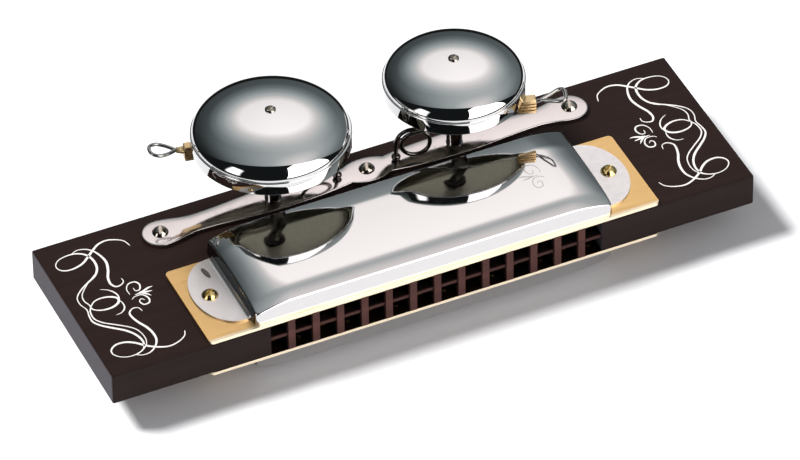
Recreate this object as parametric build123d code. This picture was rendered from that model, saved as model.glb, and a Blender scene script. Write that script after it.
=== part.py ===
from build123d import *
import os
from math import asin, atan2, cos, degrees, hypot, radians, sin, sqrt

# A tremolo harmonica with two bells on its back edge. Millimetres, +X from the low notes
# to the high notes, +Y from the mouth side to the back, +Z up. The origin is the middle of
# the lower cover's flat underside, on which the instrument rests.

# --- wooden comb ---------------------------------------------------------------------
COMB_LENGTH = 190.0
COMB_DEPTH = 56.0
COMB_THICKNESS = 10.0
COMB_EDGE_ROUND = 0.6
CHAMBER_COLUMNS = 14
CHAMBER_END_MARGIN = 2.95
CHAMBER_WALL = 2.0
CHAMBER_DEPTH_LOW = 27.5
CHAMBER_DEPTH_HIGH = 20.0
DIVIDER_THICKNESS = 1.0
DIVIDER_SETBACK = 0.7

# --- reed plates and reeds -----------------------------------------------------------
PLATE_DEPTH = 31.0
PLATE_THICKNESS = 1.0
PLATE_SETBACK = 0.15
PLATE_EAR_MARGIN = 2.5
PLATE_CORNER_RADIUS = 1.3
REED_FRONT = 5.2
REED_LENGTH_LOW = 18.4
REED_LENGTH_HIGH = 11.0
REED_WIDTH = 2.2
REED_THICKNESS = 0.25
REED_SLOT_CLEARANCE = 0.12
REED_PAD_LENGTH = 3.0
REED_PAD_WIDTH = 3.2
REED_PAD_THICKNESS = 0.5
RIVET_DIAMETER = 1.2
RIVET_HEAD_DIAMETER = 1.8
RIVET_HEAD_HEIGHT = 0.4
NAIL_COUNT = 4
NAIL_SPAN = 90.0
NAIL_INSET = 1.9
NAIL_DIAMETER = 1.0
NAIL_LENGTH = 4.6
NAIL_HEAD_DIAMETER = 2.0
NAIL_HEAD_HEIGHT = 0.45

# --- cover plates --------------------------------------------------------------------
COVER_LENGTH = 104.0
COVER_FLAT_DEPTH = 16.4
COVER_HEIGHT = 8.0
COVER_SETBACK = 1.1
COVER_SHEET = 0.5
COVER_FRONT_UPRIGHT = 5.1
COVER_FRONT_ROLL = 7.2
COVER_BACK_ROLL = 8.8
COVER_BACK_DROP = 1.4
COVER_BACK_LIP = 0.6
COVER_END_ROLL = 3.2
COVER_CORNER_RADIUS = 2.4
EAR_REACH = 12.0
EAR_WIDTH = 27.0
EAR_OFFSET = 1.0
EAR_SLOT_LENGTH = 3.8
EAR_SLOT_WIDTH = 1.1
EAR_SLOT_OUT = 4.7
EAR_SLOT_BACK = 8.6
EAR_SLOT_ANGLE = 80.0

# --- wood screws of the covers and of the bell strap ---------------------------------
COVER_SCREW_OUT = 7.2
COVER_SCREW_FORWARD = 0.3
COVER_SCREW_LENGTH = 4.4
STRAP_SCREW_SPACING = 61.2
STRAP_SCREW_LENGTH = 6.0
SCREW_HEAD_DIAMETER = 4.5
SCREW_HEAD_HEIGHT = 1.5
SCREW_DIAMETER = 2.2
SCREW_SLOT_WIDTH = 0.7
SCREW_SLOT_DEPTH = 0.7
COVER_SCREW_SLOT_ANGLE = 35.0
STRAP_SCREW_SLOT_ANGLE = 70.0
SCREW_HOLE_CLEARANCE = 0.05

# --- bell strap ----------------------------------------------------------------------
STRAP_BACK_INSET = 9.7
STRAP_THICKNESS = 1.6
STRAP_LOBE_RADIUS = 5.1
STRAP_CENTRE_LOBE_LENGTH = 16.2
STRAP_CENTRE_LOBE_WIDTH = 9.7
STRAP_WAIST_WIDTH = 5.8
STRAP_WAIST_FLARE = 0.2
STRAP_ARM_WIDTH = 9.6
STRAP_NECK_WIDTH = 6.8
STRAP_NECK_INSET = 10.5

# --- bells ---------------------------------------------------------------------------
LEFT_BELL_X = -27.9
LEFT_BELL_RADIUS = 21.95
LEFT_BELL_LIFT = 19.6
LEFT_BELL_DOME = 7.5
RIGHT_BELL_X = 26.35
RIGHT_BELL_RADIUS = 19.65
RIGHT_BELL_LIFT = 18.95
RIGHT_BELL_DOME = 6.6
BELL_WALL = 0.8
BELL_SKIRT = 4.2
BELL_LEDGE = 0.9
BELL_HOLE_CLEARANCE = 0.1
POST_DIAMETER = 4.4
POST_TENON_DIAMETER = 3.0
POST_BORE_DEPTH = 5.0
WASHER_DIAMETER = 6.0
WASHER_THICKNESS = 0.8
BELL_SCREW_DIAMETER = 1.8
BELL_SCREW_HEAD_DIAMETER = 3.0
BELL_SCREW_HEAD_HEIGHT = 0.8
BELL_SCREW_SLOT_WIDTH = 0.5
BELL_SCREW_SLOT_DEPTH = 0.4
BELL_SCREW_SLOT_ANGLE = 20.0

# --- strikers: sprung wire, brass hammer and finger loop ------------------------------
WIRE_DIAMETER = 1.05
ANCHOR_X = 8.8
ANCHOR_COLLAR_DIAMETER = 2.6
ANCHOR_COLLAR_HEIGHT = 1.5
ANCHOR_TENON_DIAMETER = 2.0
COIL_RADIUS = 4.0
COIL_LEAD = 1.3
COIL_ADVANCE = 1.44
COIL_HEIGHT = 6.0
ARM_START_GAP = 0.1
LEFT_HAMMER_ANGLE = 155.4
RIGHT_HAMMER_ANGLE = -35.5
LEFT_HAMMER_OVERHANG = -0.7
RIGHT_HAMMER_OVERHANG = 0.4
HAMMER_RIM_GAP = 0.35
HAMMER_LENGTH = 5.2
HAMMER_WIDTH = 2.8
HAMMER_HEIGHT = 4.2
HAMMER_FOOT_WIDTH = 3.8
HAMMER_FOOT_HEIGHT = 1.3
LEFT_LOOP_NECK = 2.2
RIGHT_LOOP_NECK = 1.2
LOOP_LENGTH = 7.0
LOOP_WIDTH = 5.6
LOOP_CORNER_RADIUS = 1.8
FERRULE_DIAMETER = 2.1
FERRULE_LENGTH = 2.0

# --- places worked out from the sizes above ------------------------------------------
COMB_BOTTOM = COVER_HEIGHT + PLATE_THICKNESS
COMB_TOP = COMB_BOTTOM + COMB_THICKNESS
COMB_MIDDLE = COMB_BOTTOM + COMB_THICKNESS / 2
PLATE_TOP = COMB_TOP + PLATE_THICKNESS
PLATE_LENGTH = COVER_LENGTH + 2 * (EAR_REACH + PLATE_EAR_MARGIN)
COVER_FRONT_Y = -COVER_FLAT_DEPTH / 2 - COVER_FRONT_ROLL
COVER_BACK_Y = COVER_FLAT_DEPTH / 2 + COVER_BACK_ROLL
COVER_DEPTH = COVER_BACK_Y - COVER_FRONT_Y
MOUTH_Y = COVER_FRONT_Y - COVER_SETBACK
COMB_BACK_Y = MOUTH_Y + COMB_DEPTH
PLATE_FRONT_Y = MOUTH_Y + PLATE_SETBACK
EAR_CENTRE_Y = EAR_OFFSET
CHAMBER_ZONE = COVER_LENGTH - 2 * CHAMBER_END_MARGIN
CHAMBER_PITCH = (CHAMBER_ZONE + CHAMBER_WALL) / CHAMBER_COLUMNS
STRAP_Y = COMB_BACK_Y - STRAP_BACK_INSET
STRAP_TOP = COMB_TOP + STRAP_THICKNESS
SCREW_RADIUS = SCREW_DIAMETER / 2
WIRE_RADIUS = WIRE_DIAMETER / 2
BELLS = {
    "left": (LEFT_BELL_X, LEFT_BELL_RADIUS, STRAP_TOP + LEFT_BELL_LIFT, LEFT_BELL_DOME),
    "right": (RIGHT_BELL_X, RIGHT_BELL_RADIUS, STRAP_TOP + RIGHT_BELL_LIFT, RIGHT_BELL_DOME),
}


def block(x0, x1, y0, y1, z0, z1):
    """A box between two corners."""
    return Pos((x0 + x1) / 2, (y0 + y1) / 2, (z0 + z1) / 2) * Box(x1 - x0, y1 - y0, z1 - z0)


def rod(x, y, z0, z1, radius):
    """An upright cylinder from z0 to z1."""
    return Pos(x, y, (z0 + z1) / 2) * Cylinder(radius, z1 - z0)


def group(solids):
    """Several separate solids that share one node."""
    return Compound(children=[solid for piece in solids for solid in piece.solids()])


def below(part):
    """The lower row's copy of an upper-row piece, mirrored about the comb's middle."""
    return mirror(part, about=Plane.XY.offset(COMB_MIDDLE))


def cut_by(part, tools):
    """A part with every tool cut out of it."""
    for tool in tools:
        part = part - tool
    return part


# --- fasteners -----------------------------------------------------------------------
def domed_head(radius, height):
    """A low round head: the cap of a sphere standing on z = 0."""
    sphere_radius = (radius ** 2 + height ** 2) / (2 * height)
    ball = Pos(0, 0, height - sphere_radius) * Sphere(sphere_radius)
    return ball & rod(0, 0, 0, height, radius)


def slotted_screw(x, y, seat_z, head_diameter, head_height, shank_diameter, shank_length,
                  slot_width, slot_depth, slot_angle):
    """A round-head screw with one slot, its head standing on seat_z and its shank below."""
    slot = Rot(0, 0, slot_angle) * block(-head_diameter, head_diameter, -slot_width / 2,
                                         slot_width / 2, head_height - slot_depth, head_height)
    head = domed_head(head_diameter / 2, head_height) - slot
    return Pos(x, y, seat_z) * (head + rod(0, 0, -shank_length, 0, shank_diameter / 2))


def wood_screw(x, y, seat_z, length, slot_angle):
    """One of the wood screws of the covers and of the strap."""
    return slotted_screw(x, y, seat_z, SCREW_HEAD_DIAMETER, SCREW_HEAD_HEIGHT, SCREW_DIAMETER,
                         length, SCREW_SLOT_WIDTH, SCREW_SLOT_DEPTH, slot_angle)


def cover_screw_places():
    """The two screws of one cover, one in each ear."""
    reach = COVER_LENGTH / 2 + COVER_SCREW_OUT
    return [(-reach, EAR_CENTRE_Y - COVER_SCREW_FORWARD), (reach, EAR_CENTRE_Y - COVER_SCREW_FORWARD)]


def upper_cover_screws():
    seat = PLATE_TOP + COVER_SHEET
    length = COVER_SHEET + PLATE_THICKNESS + COVER_SCREW_LENGTH
    return [wood_screw(x, y, seat, length, COVER_SCREW_SLOT_ANGLE) for x, y in cover_screw_places()]


def strap_screw_places():
    """Screws through the strap's two end lobes and its middle lobe."""
    return [(x, STRAP_Y) for x in (-STRAP_SCREW_SPACING, 0.0, STRAP_SCREW_SPACING)]


def strap_screws():
    return [wood_screw(x, y, STRAP_TOP, STRAP_SCREW_LENGTH, STRAP_SCREW_SLOT_ANGLE)
            for x, y in strap_screw_places()]


def nail_places():
    """Nails along the plate's back edge, in the solid wood behind the chambers."""
    y = PLATE_FRONT_Y + PLATE_DEPTH - NAIL_INSET
    step = NAIL_SPAN / (NAIL_COUNT - 1)
    return [(-NAIL_SPAN / 2 + step * i, y) for i in range(NAIL_COUNT)]


def upper_nails():
    nails = []
    for x, y in nail_places():
        head = Pos(x, y, PLATE_TOP) * domed_head(NAIL_HEAD_DIAMETER / 2, NAIL_HEAD_HEIGHT)
        nails.append(head + rod(x, y, PLATE_TOP - NAIL_LENGTH, PLATE_TOP, NAIL_DIAMETER / 2))
    return nails


# --- comb ----------------------------------------------------------------------------
def column_x(column):
    """The middle of one column of chambers."""
    return (column - (CHAMBER_COLUMNS - 1) / 2) * CHAMBER_PITCH


def chamber_pocket():
    """The space of all chambers: open at the mouth, and shorter towards the high notes."""
    half = CHAMBER_ZONE / 2
    outline = Polyline((-half, MOUTH_Y), (half, MOUTH_Y), (half, MOUTH_Y + CHAMBER_DEPTH_HIGH),
                       (-half, MOUTH_Y + CHAMBER_DEPTH_LOW), close=True)
    return Pos(0, 0, COMB_BOTTOM) * extrude(make_face(outline), COMB_THICKNESS)


def comb():
    """The board, with the pocket for the chambers and the holes of all fasteners."""
    board = block(-COMB_LENGTH / 2, COMB_LENGTH / 2, MOUTH_Y, COMB_BACK_Y, COMB_BOTTOM, COMB_TOP)
    board = fillet(board.edges(), COMB_EDGE_ROUND) - chamber_pocket()
    fasteners = upper_cover_screws() + upper_nails()
    return cut_by(board, fasteners + [below(one) for one in fasteners] + strap_screws())


def chamber_divider():
    """The thin strip between the upper and the lower row of chambers."""
    middle = block(-CHAMBER_ZONE / 2, CHAMBER_ZONE / 2, MOUTH_Y + DIVIDER_SETBACK,
                   MOUTH_Y + CHAMBER_DEPTH_LOW, COMB_MIDDLE - DIVIDER_THICKNESS / 2,
                   COMB_MIDDLE + DIVIDER_THICKNESS / 2)
    return middle & chamber_pocket()


def chamber_walls():
    """The upright walls between columns, each slotted for the divider."""
    walls = []
    for column in range(CHAMBER_COLUMNS - 1):
        x = column_x(column) + CHAMBER_PITCH / 2
        wall = block(x - CHAMBER_WALL / 2, x + CHAMBER_WALL / 2, MOUTH_Y,
                     MOUTH_Y + CHAMBER_DEPTH_LOW, COMB_BOTTOM, COMB_TOP)
        walls.append((wall & chamber_pocket()) - chamber_divider())
    return walls


# --- reed plates ---------------------------------------------------------------------
def reed_length(column):
    """The reeds shorten evenly from the low to the high notes."""
    share = column / (CHAMBER_COLUMNS - 1)
    return REED_LENGTH_LOW + (REED_LENGTH_HIGH - REED_LENGTH_LOW) * share


def blows(column):
    """Columns take turns: even ones sound on the blow, odd ones on the draw."""
    return column % 2 == 0


def reed_front_y():
    return MOUTH_Y + REED_FRONT


def pad_centre_y(column):
    """A blow reed is riveted behind its slot, a draw reed in front of it."""
    if blows(column):
        return reed_front_y() + reed_length(column) + REED_PAD_LENGTH / 2
    return reed_front_y() - REED_PAD_LENGTH / 2


def reed(column):
    """One upper-row reed: a thick riveted pad and a thin tongue over the slot."""
    x, y, front = column_x(column), pad_centre_y(column), reed_front_y()
    pad = block(x - REED_PAD_WIDTH / 2, x + REED_PAD_WIDTH / 2, y - REED_PAD_LENGTH / 2,
                y + REED_PAD_LENGTH / 2, 0, REED_PAD_THICKNESS)
    tongue = block(x - REED_WIDTH / 2, x + REED_WIDTH / 2, front + REED_SLOT_CLEARANCE,
                   front + reed_length(column), 0, REED_THICKNESS)
    if not blows(column):
        tongue = block(x - REED_WIDTH / 2, x + REED_WIDTH / 2, front,
                       front + reed_length(column) - REED_SLOT_CLEARANCE, 0, REED_THICKNESS)
    whole = (pad + tongue) - rod(x, y, 0, REED_PAD_THICKNESS, RIVET_DIAMETER / 2)
    return onto_plate(whole, column)


def onto_plate(piece, column):
    """Draw reeds lie on the plate's outside and blow reeds hang under it, in the chamber."""
    if blows(column):
        return Pos(0, 0, COMB_TOP) * mirror(piece, about=Plane.XY)
    return Pos(0, 0, PLATE_TOP) * piece


def reed_rivet(column):
    """A rivet through plate and pad, with its head on the pad."""
    head = Pos(0, 0, REED_PAD_THICKNESS) * domed_head(RIVET_HEAD_DIAMETER / 2, RIVET_HEAD_HEIGHT)
    rivet = head + rod(0, 0, -PLATE_THICKNESS, REED_PAD_THICKNESS, RIVET_DIAMETER / 2)
    return onto_plate(Pos(column_x(column), pad_centre_y(column), 0) * rivet, column)


def reed_slot(column):
    """The slot that the tongue swings through."""
    half = REED_WIDTH / 2 + REED_SLOT_CLEARANCE
    front, x = reed_front_y(), column_x(column)
    return block(x - half, x + half, front, front + reed_length(column), COMB_TOP, PLATE_TOP)


def reed_plate():
    """The upper brass plate, with its slots and the holes of its rivets, nails and screws."""
    plate = block(-PLATE_LENGTH / 2, PLATE_LENGTH / 2, PLATE_FRONT_Y, PLATE_FRONT_Y + PLATE_DEPTH,
                  COMB_TOP, PLATE_TOP)
    plate = fillet(plate.edges().filter_by(Axis.Z), PLATE_CORNER_RADIUS)
    slots = [reed_slot(column) for column in range(CHAMBER_COLUMNS)]
    rivets = [reed_rivet(column) for column in range(CHAMBER_COLUMNS)]
    holes = [rod(x, y, COMB_TOP, PLATE_TOP, SCREW_RADIUS + SCREW_HOLE_CLEARANCE)
             for x, y in cover_screw_places()]
    return cut_by(plate, slots + rivets + upper_nails() + holes)


# --- covers --------------------------------------------------------------------------
def cover_section(inset):
    """The cover's outline from the side: upright front, a rolled front and back, flat between."""
    front, back, top = inset, COVER_DEPTH - inset, COVER_HEIGHT - inset
    flat_start, flat_end = COVER_FRONT_ROLL, COVER_FRONT_ROLL + COVER_FLAT_DEPTH
    back_upright = COVER_HEIGHT - COVER_BACK_DROP
    rise = Line((front, 0), (front, COVER_FRONT_UPRIGHT))
    roll = EllipticalCenterArc((flat_start, COVER_FRONT_UPRIGHT), flat_start - front,
                               top - COVER_FRONT_UPRIGHT, start_angle=90, arc_size=90)
    flat = Line((flat_start, top), (flat_end, top))
    bend = EllipticalCenterArc((flat_end, back_upright), back - flat_end, top - back_upright,
                               arc_size=90)
    fall = Line((back, back_upright), (back, 0))
    base = Line((back, 0), (front, 0))
    face = make_face([rise, roll, flat, bend, fall, base])
    return Pos(0, COVER_FRONT_Y, PLATE_TOP) * (Plane.YZ * face)


def cover_end_outline(inset):
    """The end seen from the front: the flat top rolls down into the end wall."""
    roll, top = COVER_END_ROLL - inset, COVER_HEIGHT - inset
    bend = CenterArc((0, top - roll), roll, 0, 90)
    return make_face([bend, Polyline((0, top), (0, 0), (roll, 0), (roll, top - roll))])


def cover_end_plan(inset):
    """The end seen from above: the end wall turns round two corners into front and back."""
    front, back = COVER_FRONT_Y + inset, COVER_BACK_Y - inset
    roll, corner = COVER_END_ROLL - inset, COVER_CORNER_RADIUS - inset
    front_turn = CenterArc((roll - corner, front + corner), corner, 270, 90)
    back_turn = CenterArc((roll - corner, back - corner), corner, 0, 90)
    wall = Line((roll, front + corner), (roll, back - corner))
    inner = Polyline((roll - corner, back), (0, back), (0, front), (roll - corner, front))
    return make_face([front_turn, wall, back_turn, inner])


def cover_end(inset):
    """The solid form of a rounded end: what its side, front and plan outlines have in common."""
    side = extrude(cover_section(inset), COVER_END_ROLL - inset, dir=(1, 0, 0))
    rolled = extrude(Plane.XZ * cover_end_outline(inset), COVER_DEPTH, both=True)
    walls = extrude(cover_end_plan(inset), COVER_HEIGHT, both=True)
    return side & (Pos(0, 0, PLATE_TOP) * rolled) & (Pos(0, 0, PLATE_TOP) * walls)


def cover_sheet():
    """The whole sheet before its window is cut: a straight middle and two rounded ends."""
    half = COVER_LENGTH / 2 - COVER_END_ROLL
    middle = extrude(cover_section(0) - cover_section(COVER_SHEET), half, both=True, dir=(1, 0, 0))
    right_end = Pos(half, 0, 0) * (cover_end(0) - cover_end(COVER_SHEET))
    return middle + right_end + mirror(right_end, about=Plane.YZ)


def ear(side):
    """A half-round ear that the cover's screw holds down."""
    ear_x = side * (COVER_LENGTH / 2 - COVER_SHEET)
    oval = Pos(ear_x, EAR_CENTRE_Y) * Ellipse(EAR_REACH + COVER_SHEET, EAR_WIDTH / 2)
    outer_half = Pos(ear_x + side * EAR_REACH, EAR_CENTRE_Y) * Rectangle(2 * EAR_REACH, EAR_WIDTH * 2)
    return Pos(0, 0, PLATE_TOP) * extrude(oval & outer_half, COVER_SHEET)


def upper_cover():
    """The stamped shell: end walls, front and top of one sheet, open at the back."""
    window_top = PLATE_TOP + COVER_HEIGHT - COVER_BACK_DROP - COVER_BACK_LIP
    window_half = COVER_LENGTH / 2 - COVER_CORNER_RADIUS
    window = block(-window_half, window_half, COVER_BACK_Y - COVER_CORNER_RADIUS,
                   COVER_BACK_Y + COVER_SHEET, PLATE_TOP, window_top)
    shell = cover_sheet() - window + ear(-1) + ear(1)
    hole_radius = SCREW_RADIUS + SCREW_HOLE_CLEARANCE
    return cut_by(shell, [rod(x, y, PLATE_TOP, PLATE_TOP + COVER_SHEET, hole_radius)
                          for x, y in cover_screw_places()])


def slotted_cover():
    """The upper cover, which alone has a small slot in its left ear."""
    slot = Pos(-COVER_LENGTH / 2 - EAR_SLOT_OUT, EAR_CENTRE_Y + EAR_SLOT_BACK - COVER_SCREW_FORWARD)
    slot = slot * (Rot(0, 0, EAR_SLOT_ANGLE) * SlotOverall(EAR_SLOT_LENGTH, EAR_SLOT_WIDTH))
    return upper_cover() - Pos(0, 0, PLATE_TOP) * extrude(slot, COVER_SHEET)


# --- strap, posts and bells ----------------------------------------------------------
def strap_arm_outline():
    """One arm from the middle lobe to an end lobe: it swells under the bell and narrows again."""
    start = STRAP_CENTRE_LOBE_LENGTH / 4
    neck = STRAP_SCREW_SPACING - STRAP_NECK_INSET
    swell = (start + neck) / 2
    edge = Spline((start, STRAP_WAIST_WIDTH / 2), (swell, STRAP_ARM_WIDTH / 2),
                  (neck, STRAP_NECK_WIDTH / 2), (STRAP_SCREW_SPACING, STRAP_LOBE_RADIUS),
                  tangents=[(1, STRAP_WAIST_FLARE), (1, 0)])
    return make_face([edge, Line(edge @ 1, (STRAP_SCREW_SPACING, 0)),
                      Line((STRAP_SCREW_SPACING, 0), (start, 0)), Line((start, 0), edge @ 0)])


def strap():
    """The flat strap that carries both bells and both strikers."""
    quarter = strap_arm_outline()
    arm = quarter + mirror(quarter, about=Plane.XZ)
    outline = arm + mirror(arm, about=Plane.YZ)
    outline += Ellipse(STRAP_CENTRE_LOBE_LENGTH / 2, STRAP_CENTRE_LOBE_WIDTH / 2)
    for side in (-1, 1):
        outline += Pos(side * STRAP_SCREW_SPACING, 0) * Circle(STRAP_LOBE_RADIUS)
    plate = Pos(0, STRAP_Y, COMB_TOP) * extrude(outline, STRAP_THICKNESS)
    holes = [rod(x, y, COMB_TOP, STRAP_TOP, SCREW_RADIUS + SCREW_HOLE_CLEARANCE)
             for x, y in strap_screw_places()]
    holes += [rod(BELLS[side][0], STRAP_Y, COMB_TOP, STRAP_TOP, POST_TENON_DIAMETER / 2)
              for side in BELLS]
    holes += [rod(x, STRAP_Y, COMB_TOP, STRAP_TOP, ANCHOR_TENON_DIAMETER / 2)
              for x in (-ANCHOR_X, ANCHOR_X)]
    return cut_by(plate, holes)


def dome_height(semi_axis, dome, out):
    """Height of an elliptical dome above its base, at a distance out from its axis."""
    return dome * sqrt(1 - (out / semi_axis) ** 2)


def bell_seat(side):
    """The level under the crown on which the bell's washer bears."""
    radius, rim, dome = BELLS[side][1:]
    inner_axis = radius - BELL_LEDGE - BELL_WALL
    rise = dome_height(inner_axis, dome, WASHER_DIAMETER / 2)
    return rim + BELL_SKIRT - BELL_WALL + rise


def bell_crown(side):
    """The level of the crown at the edge of the screw's hole."""
    radius, rim, dome = BELLS[side][1:]
    hole = BELL_SCREW_DIAMETER / 2 + BELL_HOLE_CLEARANCE
    return rim + BELL_SKIRT + dome_height(radius - BELL_LEDGE, dome, hole)


def half_round(radius, skirt_top, ledge, dome):
    """Half section of a bell's outside or inside: skirt, ledge and dome, closed on its axis."""
    dome_radius = radius - ledge
    wall = Line((radius, 0), (radius, skirt_top))
    step = Line((radius, skirt_top), (dome_radius, skirt_top))
    crown = EllipticalCenterArc((0, skirt_top), dome_radius, dome, arc_size=90)
    axis = Line((0, skirt_top + dome), (0, 0))
    base = Line((0, 0), (radius, 0))
    return revolve(Plane.XZ * make_face([wall, step, crown, axis, base]), Axis.Z)


def bell(side):
    """A thin bell with an upright skirt, a narrow ledge and a shallow dome."""
    x, radius, rim, dome = BELLS[side]
    shell = half_round(radius, BELL_SKIRT, BELL_LEDGE, dome)
    inside = half_round(radius - BELL_WALL, BELL_SKIRT - BELL_WALL, BELL_LEDGE, dome)
    hole = rod(0, 0, 0, BELL_SKIRT + dome, BELL_SCREW_DIAMETER / 2 + BELL_HOLE_CLEARANCE)
    return Pos(x, STRAP_Y, rim) * (shell - inside - hole)


def bell_post(side):
    """The pillar between strap and bell, with a tenon riveted in the strap."""
    x = BELLS[side][0]
    top = bell_seat(side) - WASHER_THICKNESS
    pillar = rod(x, STRAP_Y, STRAP_TOP, top, POST_DIAMETER / 2)
    tenon = rod(x, STRAP_Y, COMB_TOP, STRAP_TOP, POST_TENON_DIAMETER / 2)
    return pillar + tenon - rod(x, STRAP_Y, top - POST_BORE_DEPTH, top, BELL_SCREW_DIAMETER / 2)


def bell_washer(side):
    """The soft washer between the pillar and the bell's crown."""
    x, top = BELLS[side][0], bell_seat(side)
    washer = rod(x, STRAP_Y, top - WASHER_THICKNESS, top, WASHER_DIAMETER / 2)
    return washer - rod(x, STRAP_Y, top - WASHER_THICKNESS, top, BELL_SCREW_DIAMETER / 2)


def bell_screw(side):
    """The small screw that holds the bell down on its pillar."""
    crown = bell_crown(side)
    length = crown - bell_seat(side) + WASHER_THICKNESS + POST_BORE_DEPTH
    return slotted_screw(BELLS[side][0], STRAP_Y, crown, BELL_SCREW_HEAD_DIAMETER,
                         BELL_SCREW_HEAD_HEIGHT, BELL_SCREW_DIAMETER, length,
                         BELL_SCREW_SLOT_WIDTH, BELL_SCREW_SLOT_DEPTH, BELL_SCREW_SLOT_ANGLE)


# --- strikers ------------------------------------------------------------------------
HAMMER_ANGLES = {"left": LEFT_HAMMER_ANGLE, "right": RIGHT_HAMMER_ANGLE}
OVERHANGS = {"left": LEFT_HAMMER_OVERHANG, "right": RIGHT_HAMMER_OVERHANG}
ANCHORS = {"left": -ANCHOR_X, "right": ANCHOR_X}
LOOP_NECKS = {"left": LEFT_LOOP_NECK, "right": RIGHT_LOOP_NECK}


class Striker:
    """Places along one striker, in an upright plane through its hammer.

    In that plane, "out" runs from the anchor to the hammer and "up" is +Z. The coil starts
    on the anchor's side, goes once round and over the top, and leaves along the arm. Its
    middle is the joint's axis.
    """

    def __init__(self, side):
        x, radius, rim, _ = BELLS[side]
        reach = radius + OVERHANGS[side]
        angle = radians(HAMMER_ANGLES[side])
        across = x + reach * cos(angle) - ANCHORS[side]
        along = reach * sin(angle)
        self.neck = LOOP_NECKS[side]
        self.coil_level = STRAP_TOP + COIL_HEIGHT
        self.hammer_level = rim - HAMMER_RIM_GAP - HAMMER_HEIGHT / 2
        span = hypot(across, along)
        self.heading = atan2(along, across) + asin(COIL_ADVANCE / span)
        self.hammer_out = sqrt(span ** 2 - COIL_ADVANCE ** 2)
        rise = self.hammer_level - self.coil_level
        self.coil_out = COIL_LEAD + COIL_RADIUS
        run = self.hammer_out - self.coil_out
        self.slope = atan2(rise, run) - asin(COIL_RADIUS / hypot(rise, run))
        self.turn = degrees(radians(90) - self.slope) + 360
        self.pitch = COIL_ADVANCE * 360 / self.turn
        self.plane = Plane((ANCHORS[side], STRAP_Y, self.coil_level),
                           x_dir=(cos(self.heading), sin(self.heading), 0), z_dir=(0, 0, 1))
        self.arm_start_out = self.coil_out - COIL_RADIUS * sin(self.slope)
        self.arm_start_up = COIL_RADIUS * cos(self.slope)

    def place(self, piece):
        """A piece drawn with x out, y to the left and z up from the coil's level."""
        return self.plane * piece

    def along_arm(self, distance):
        """A frame on the arm, its x axis along the wire, this far from the hammer's middle."""
        rise = self.hammer_level - self.coil_level
        origin = (self.hammer_out + distance * cos(self.slope), -COIL_ADVANCE,
                  rise + distance * sin(self.slope))
        return Pos(*origin) * Rot(0, -degrees(self.slope), 0)


def wire_between(start, end):
    """A straight piece of the striker's wire."""
    path = Line(start, end)
    return sweep(Plane(path @ 0, z_dir=path % 0) * Circle(WIRE_RADIUS), path=path)


def striker_spring(side):
    """The fixed end of the wire: a stem up from the strap and one and a bit turns of coil."""
    striker = Striker(side)
    foot = COMB_TOP - striker.coil_level
    grip = foot + STRAP_THICKNESS + ANCHOR_COLLAR_HEIGHT
    stem = wire_between((0, 0, foot), (0, 0, grip)) + Pos(0, 0, grip) * Sphere(WIRE_RADIUS)
    stem += wire_between((0, 0, grip), (COIL_LEAD, 0, 0))
    frame = Plane((striker.coil_out, 0, 0), x_dir=(-1, 0, 0), z_dir=(0, -1, 0))
    path = frame * Helix(striker.pitch, COIL_ADVANCE, COIL_RADIUS, lefthand=True)
    section = Plane(path @ 0, z_dir=path % 0) * Circle(WIRE_RADIUS)
    coil = sweep(section, path=path, is_frenet=True)
    joint = Pos(COIL_LEAD, 0, 0) * Sphere(WIRE_RADIUS)
    return striker.place(stem + joint + coil)


def striker_arm(side):
    """The moving part of the wire: a straight arm that ends in a finger loop."""
    striker = Striker(side)
    rise = striker.hammer_level - striker.coil_level
    length = hypot(striker.hammer_out - striker.arm_start_out, rise - striker.arm_start_up)
    loop_out = HAMMER_LENGTH / 2 + striker.neck
    arm_end = loop_out + WIRE_DIAMETER
    arm = striker.along_arm(0) * wire_between((ARM_START_GAP - length, 0, 0), (arm_end, 0, 0))
    half = LOOP_WIDTH / 2
    path = FilletPolyline((0, 0), (LOOP_LENGTH, half), (LOOP_LENGTH, -half), close=True,
                          radius=(WIRE_RADIUS, LOOP_CORNER_RADIUS, LOOP_CORNER_RADIUS))
    section = Plane(path @ 0, z_dir=path % 0) * Circle(WIRE_RADIUS)
    loop = striker.along_arm(loop_out) * sweep(section, path=path)
    return striker.place(arm + loop)


def hammer(side):
    """The brass hammer: a block with a stepped foot, crimped on the wire under the rim."""
    striker = Striker(side)
    half = HAMMER_HEIGHT / 2
    body = Box(HAMMER_LENGTH, HAMMER_WIDTH, HAMMER_HEIGHT)
    foot = block(-HAMMER_LENGTH / 2, HAMMER_LENGTH / 2, -HAMMER_FOOT_WIDTH / 2,
                 HAMMER_FOOT_WIDTH / 2, -half, HAMMER_FOOT_HEIGHT - half)
    rise = striker.hammer_level - striker.coil_level
    level = Pos(striker.hammer_out, -COIL_ADVANCE, rise)
    bore = Rot(0, 90 - degrees(striker.slope), 0) * Cylinder(WIRE_RADIUS, 2 * HAMMER_LENGTH)
    return striker.place(level * ((body + foot) - bore))


def loop_ferrule():
    """The short brass sleeve that closes the left finger loop."""
    striker = Striker("left")
    sleeve = Rot(0, 90, 0) * (Cylinder(FERRULE_DIAMETER / 2, FERRULE_LENGTH)
                              - Cylinder(WIRE_RADIUS, FERRULE_LENGTH))
    middle = HAMMER_LENGTH / 2 + (striker.neck + WIRE_RADIUS) / 2
    return striker.place(striker.along_arm(middle) * sleeve)


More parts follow.
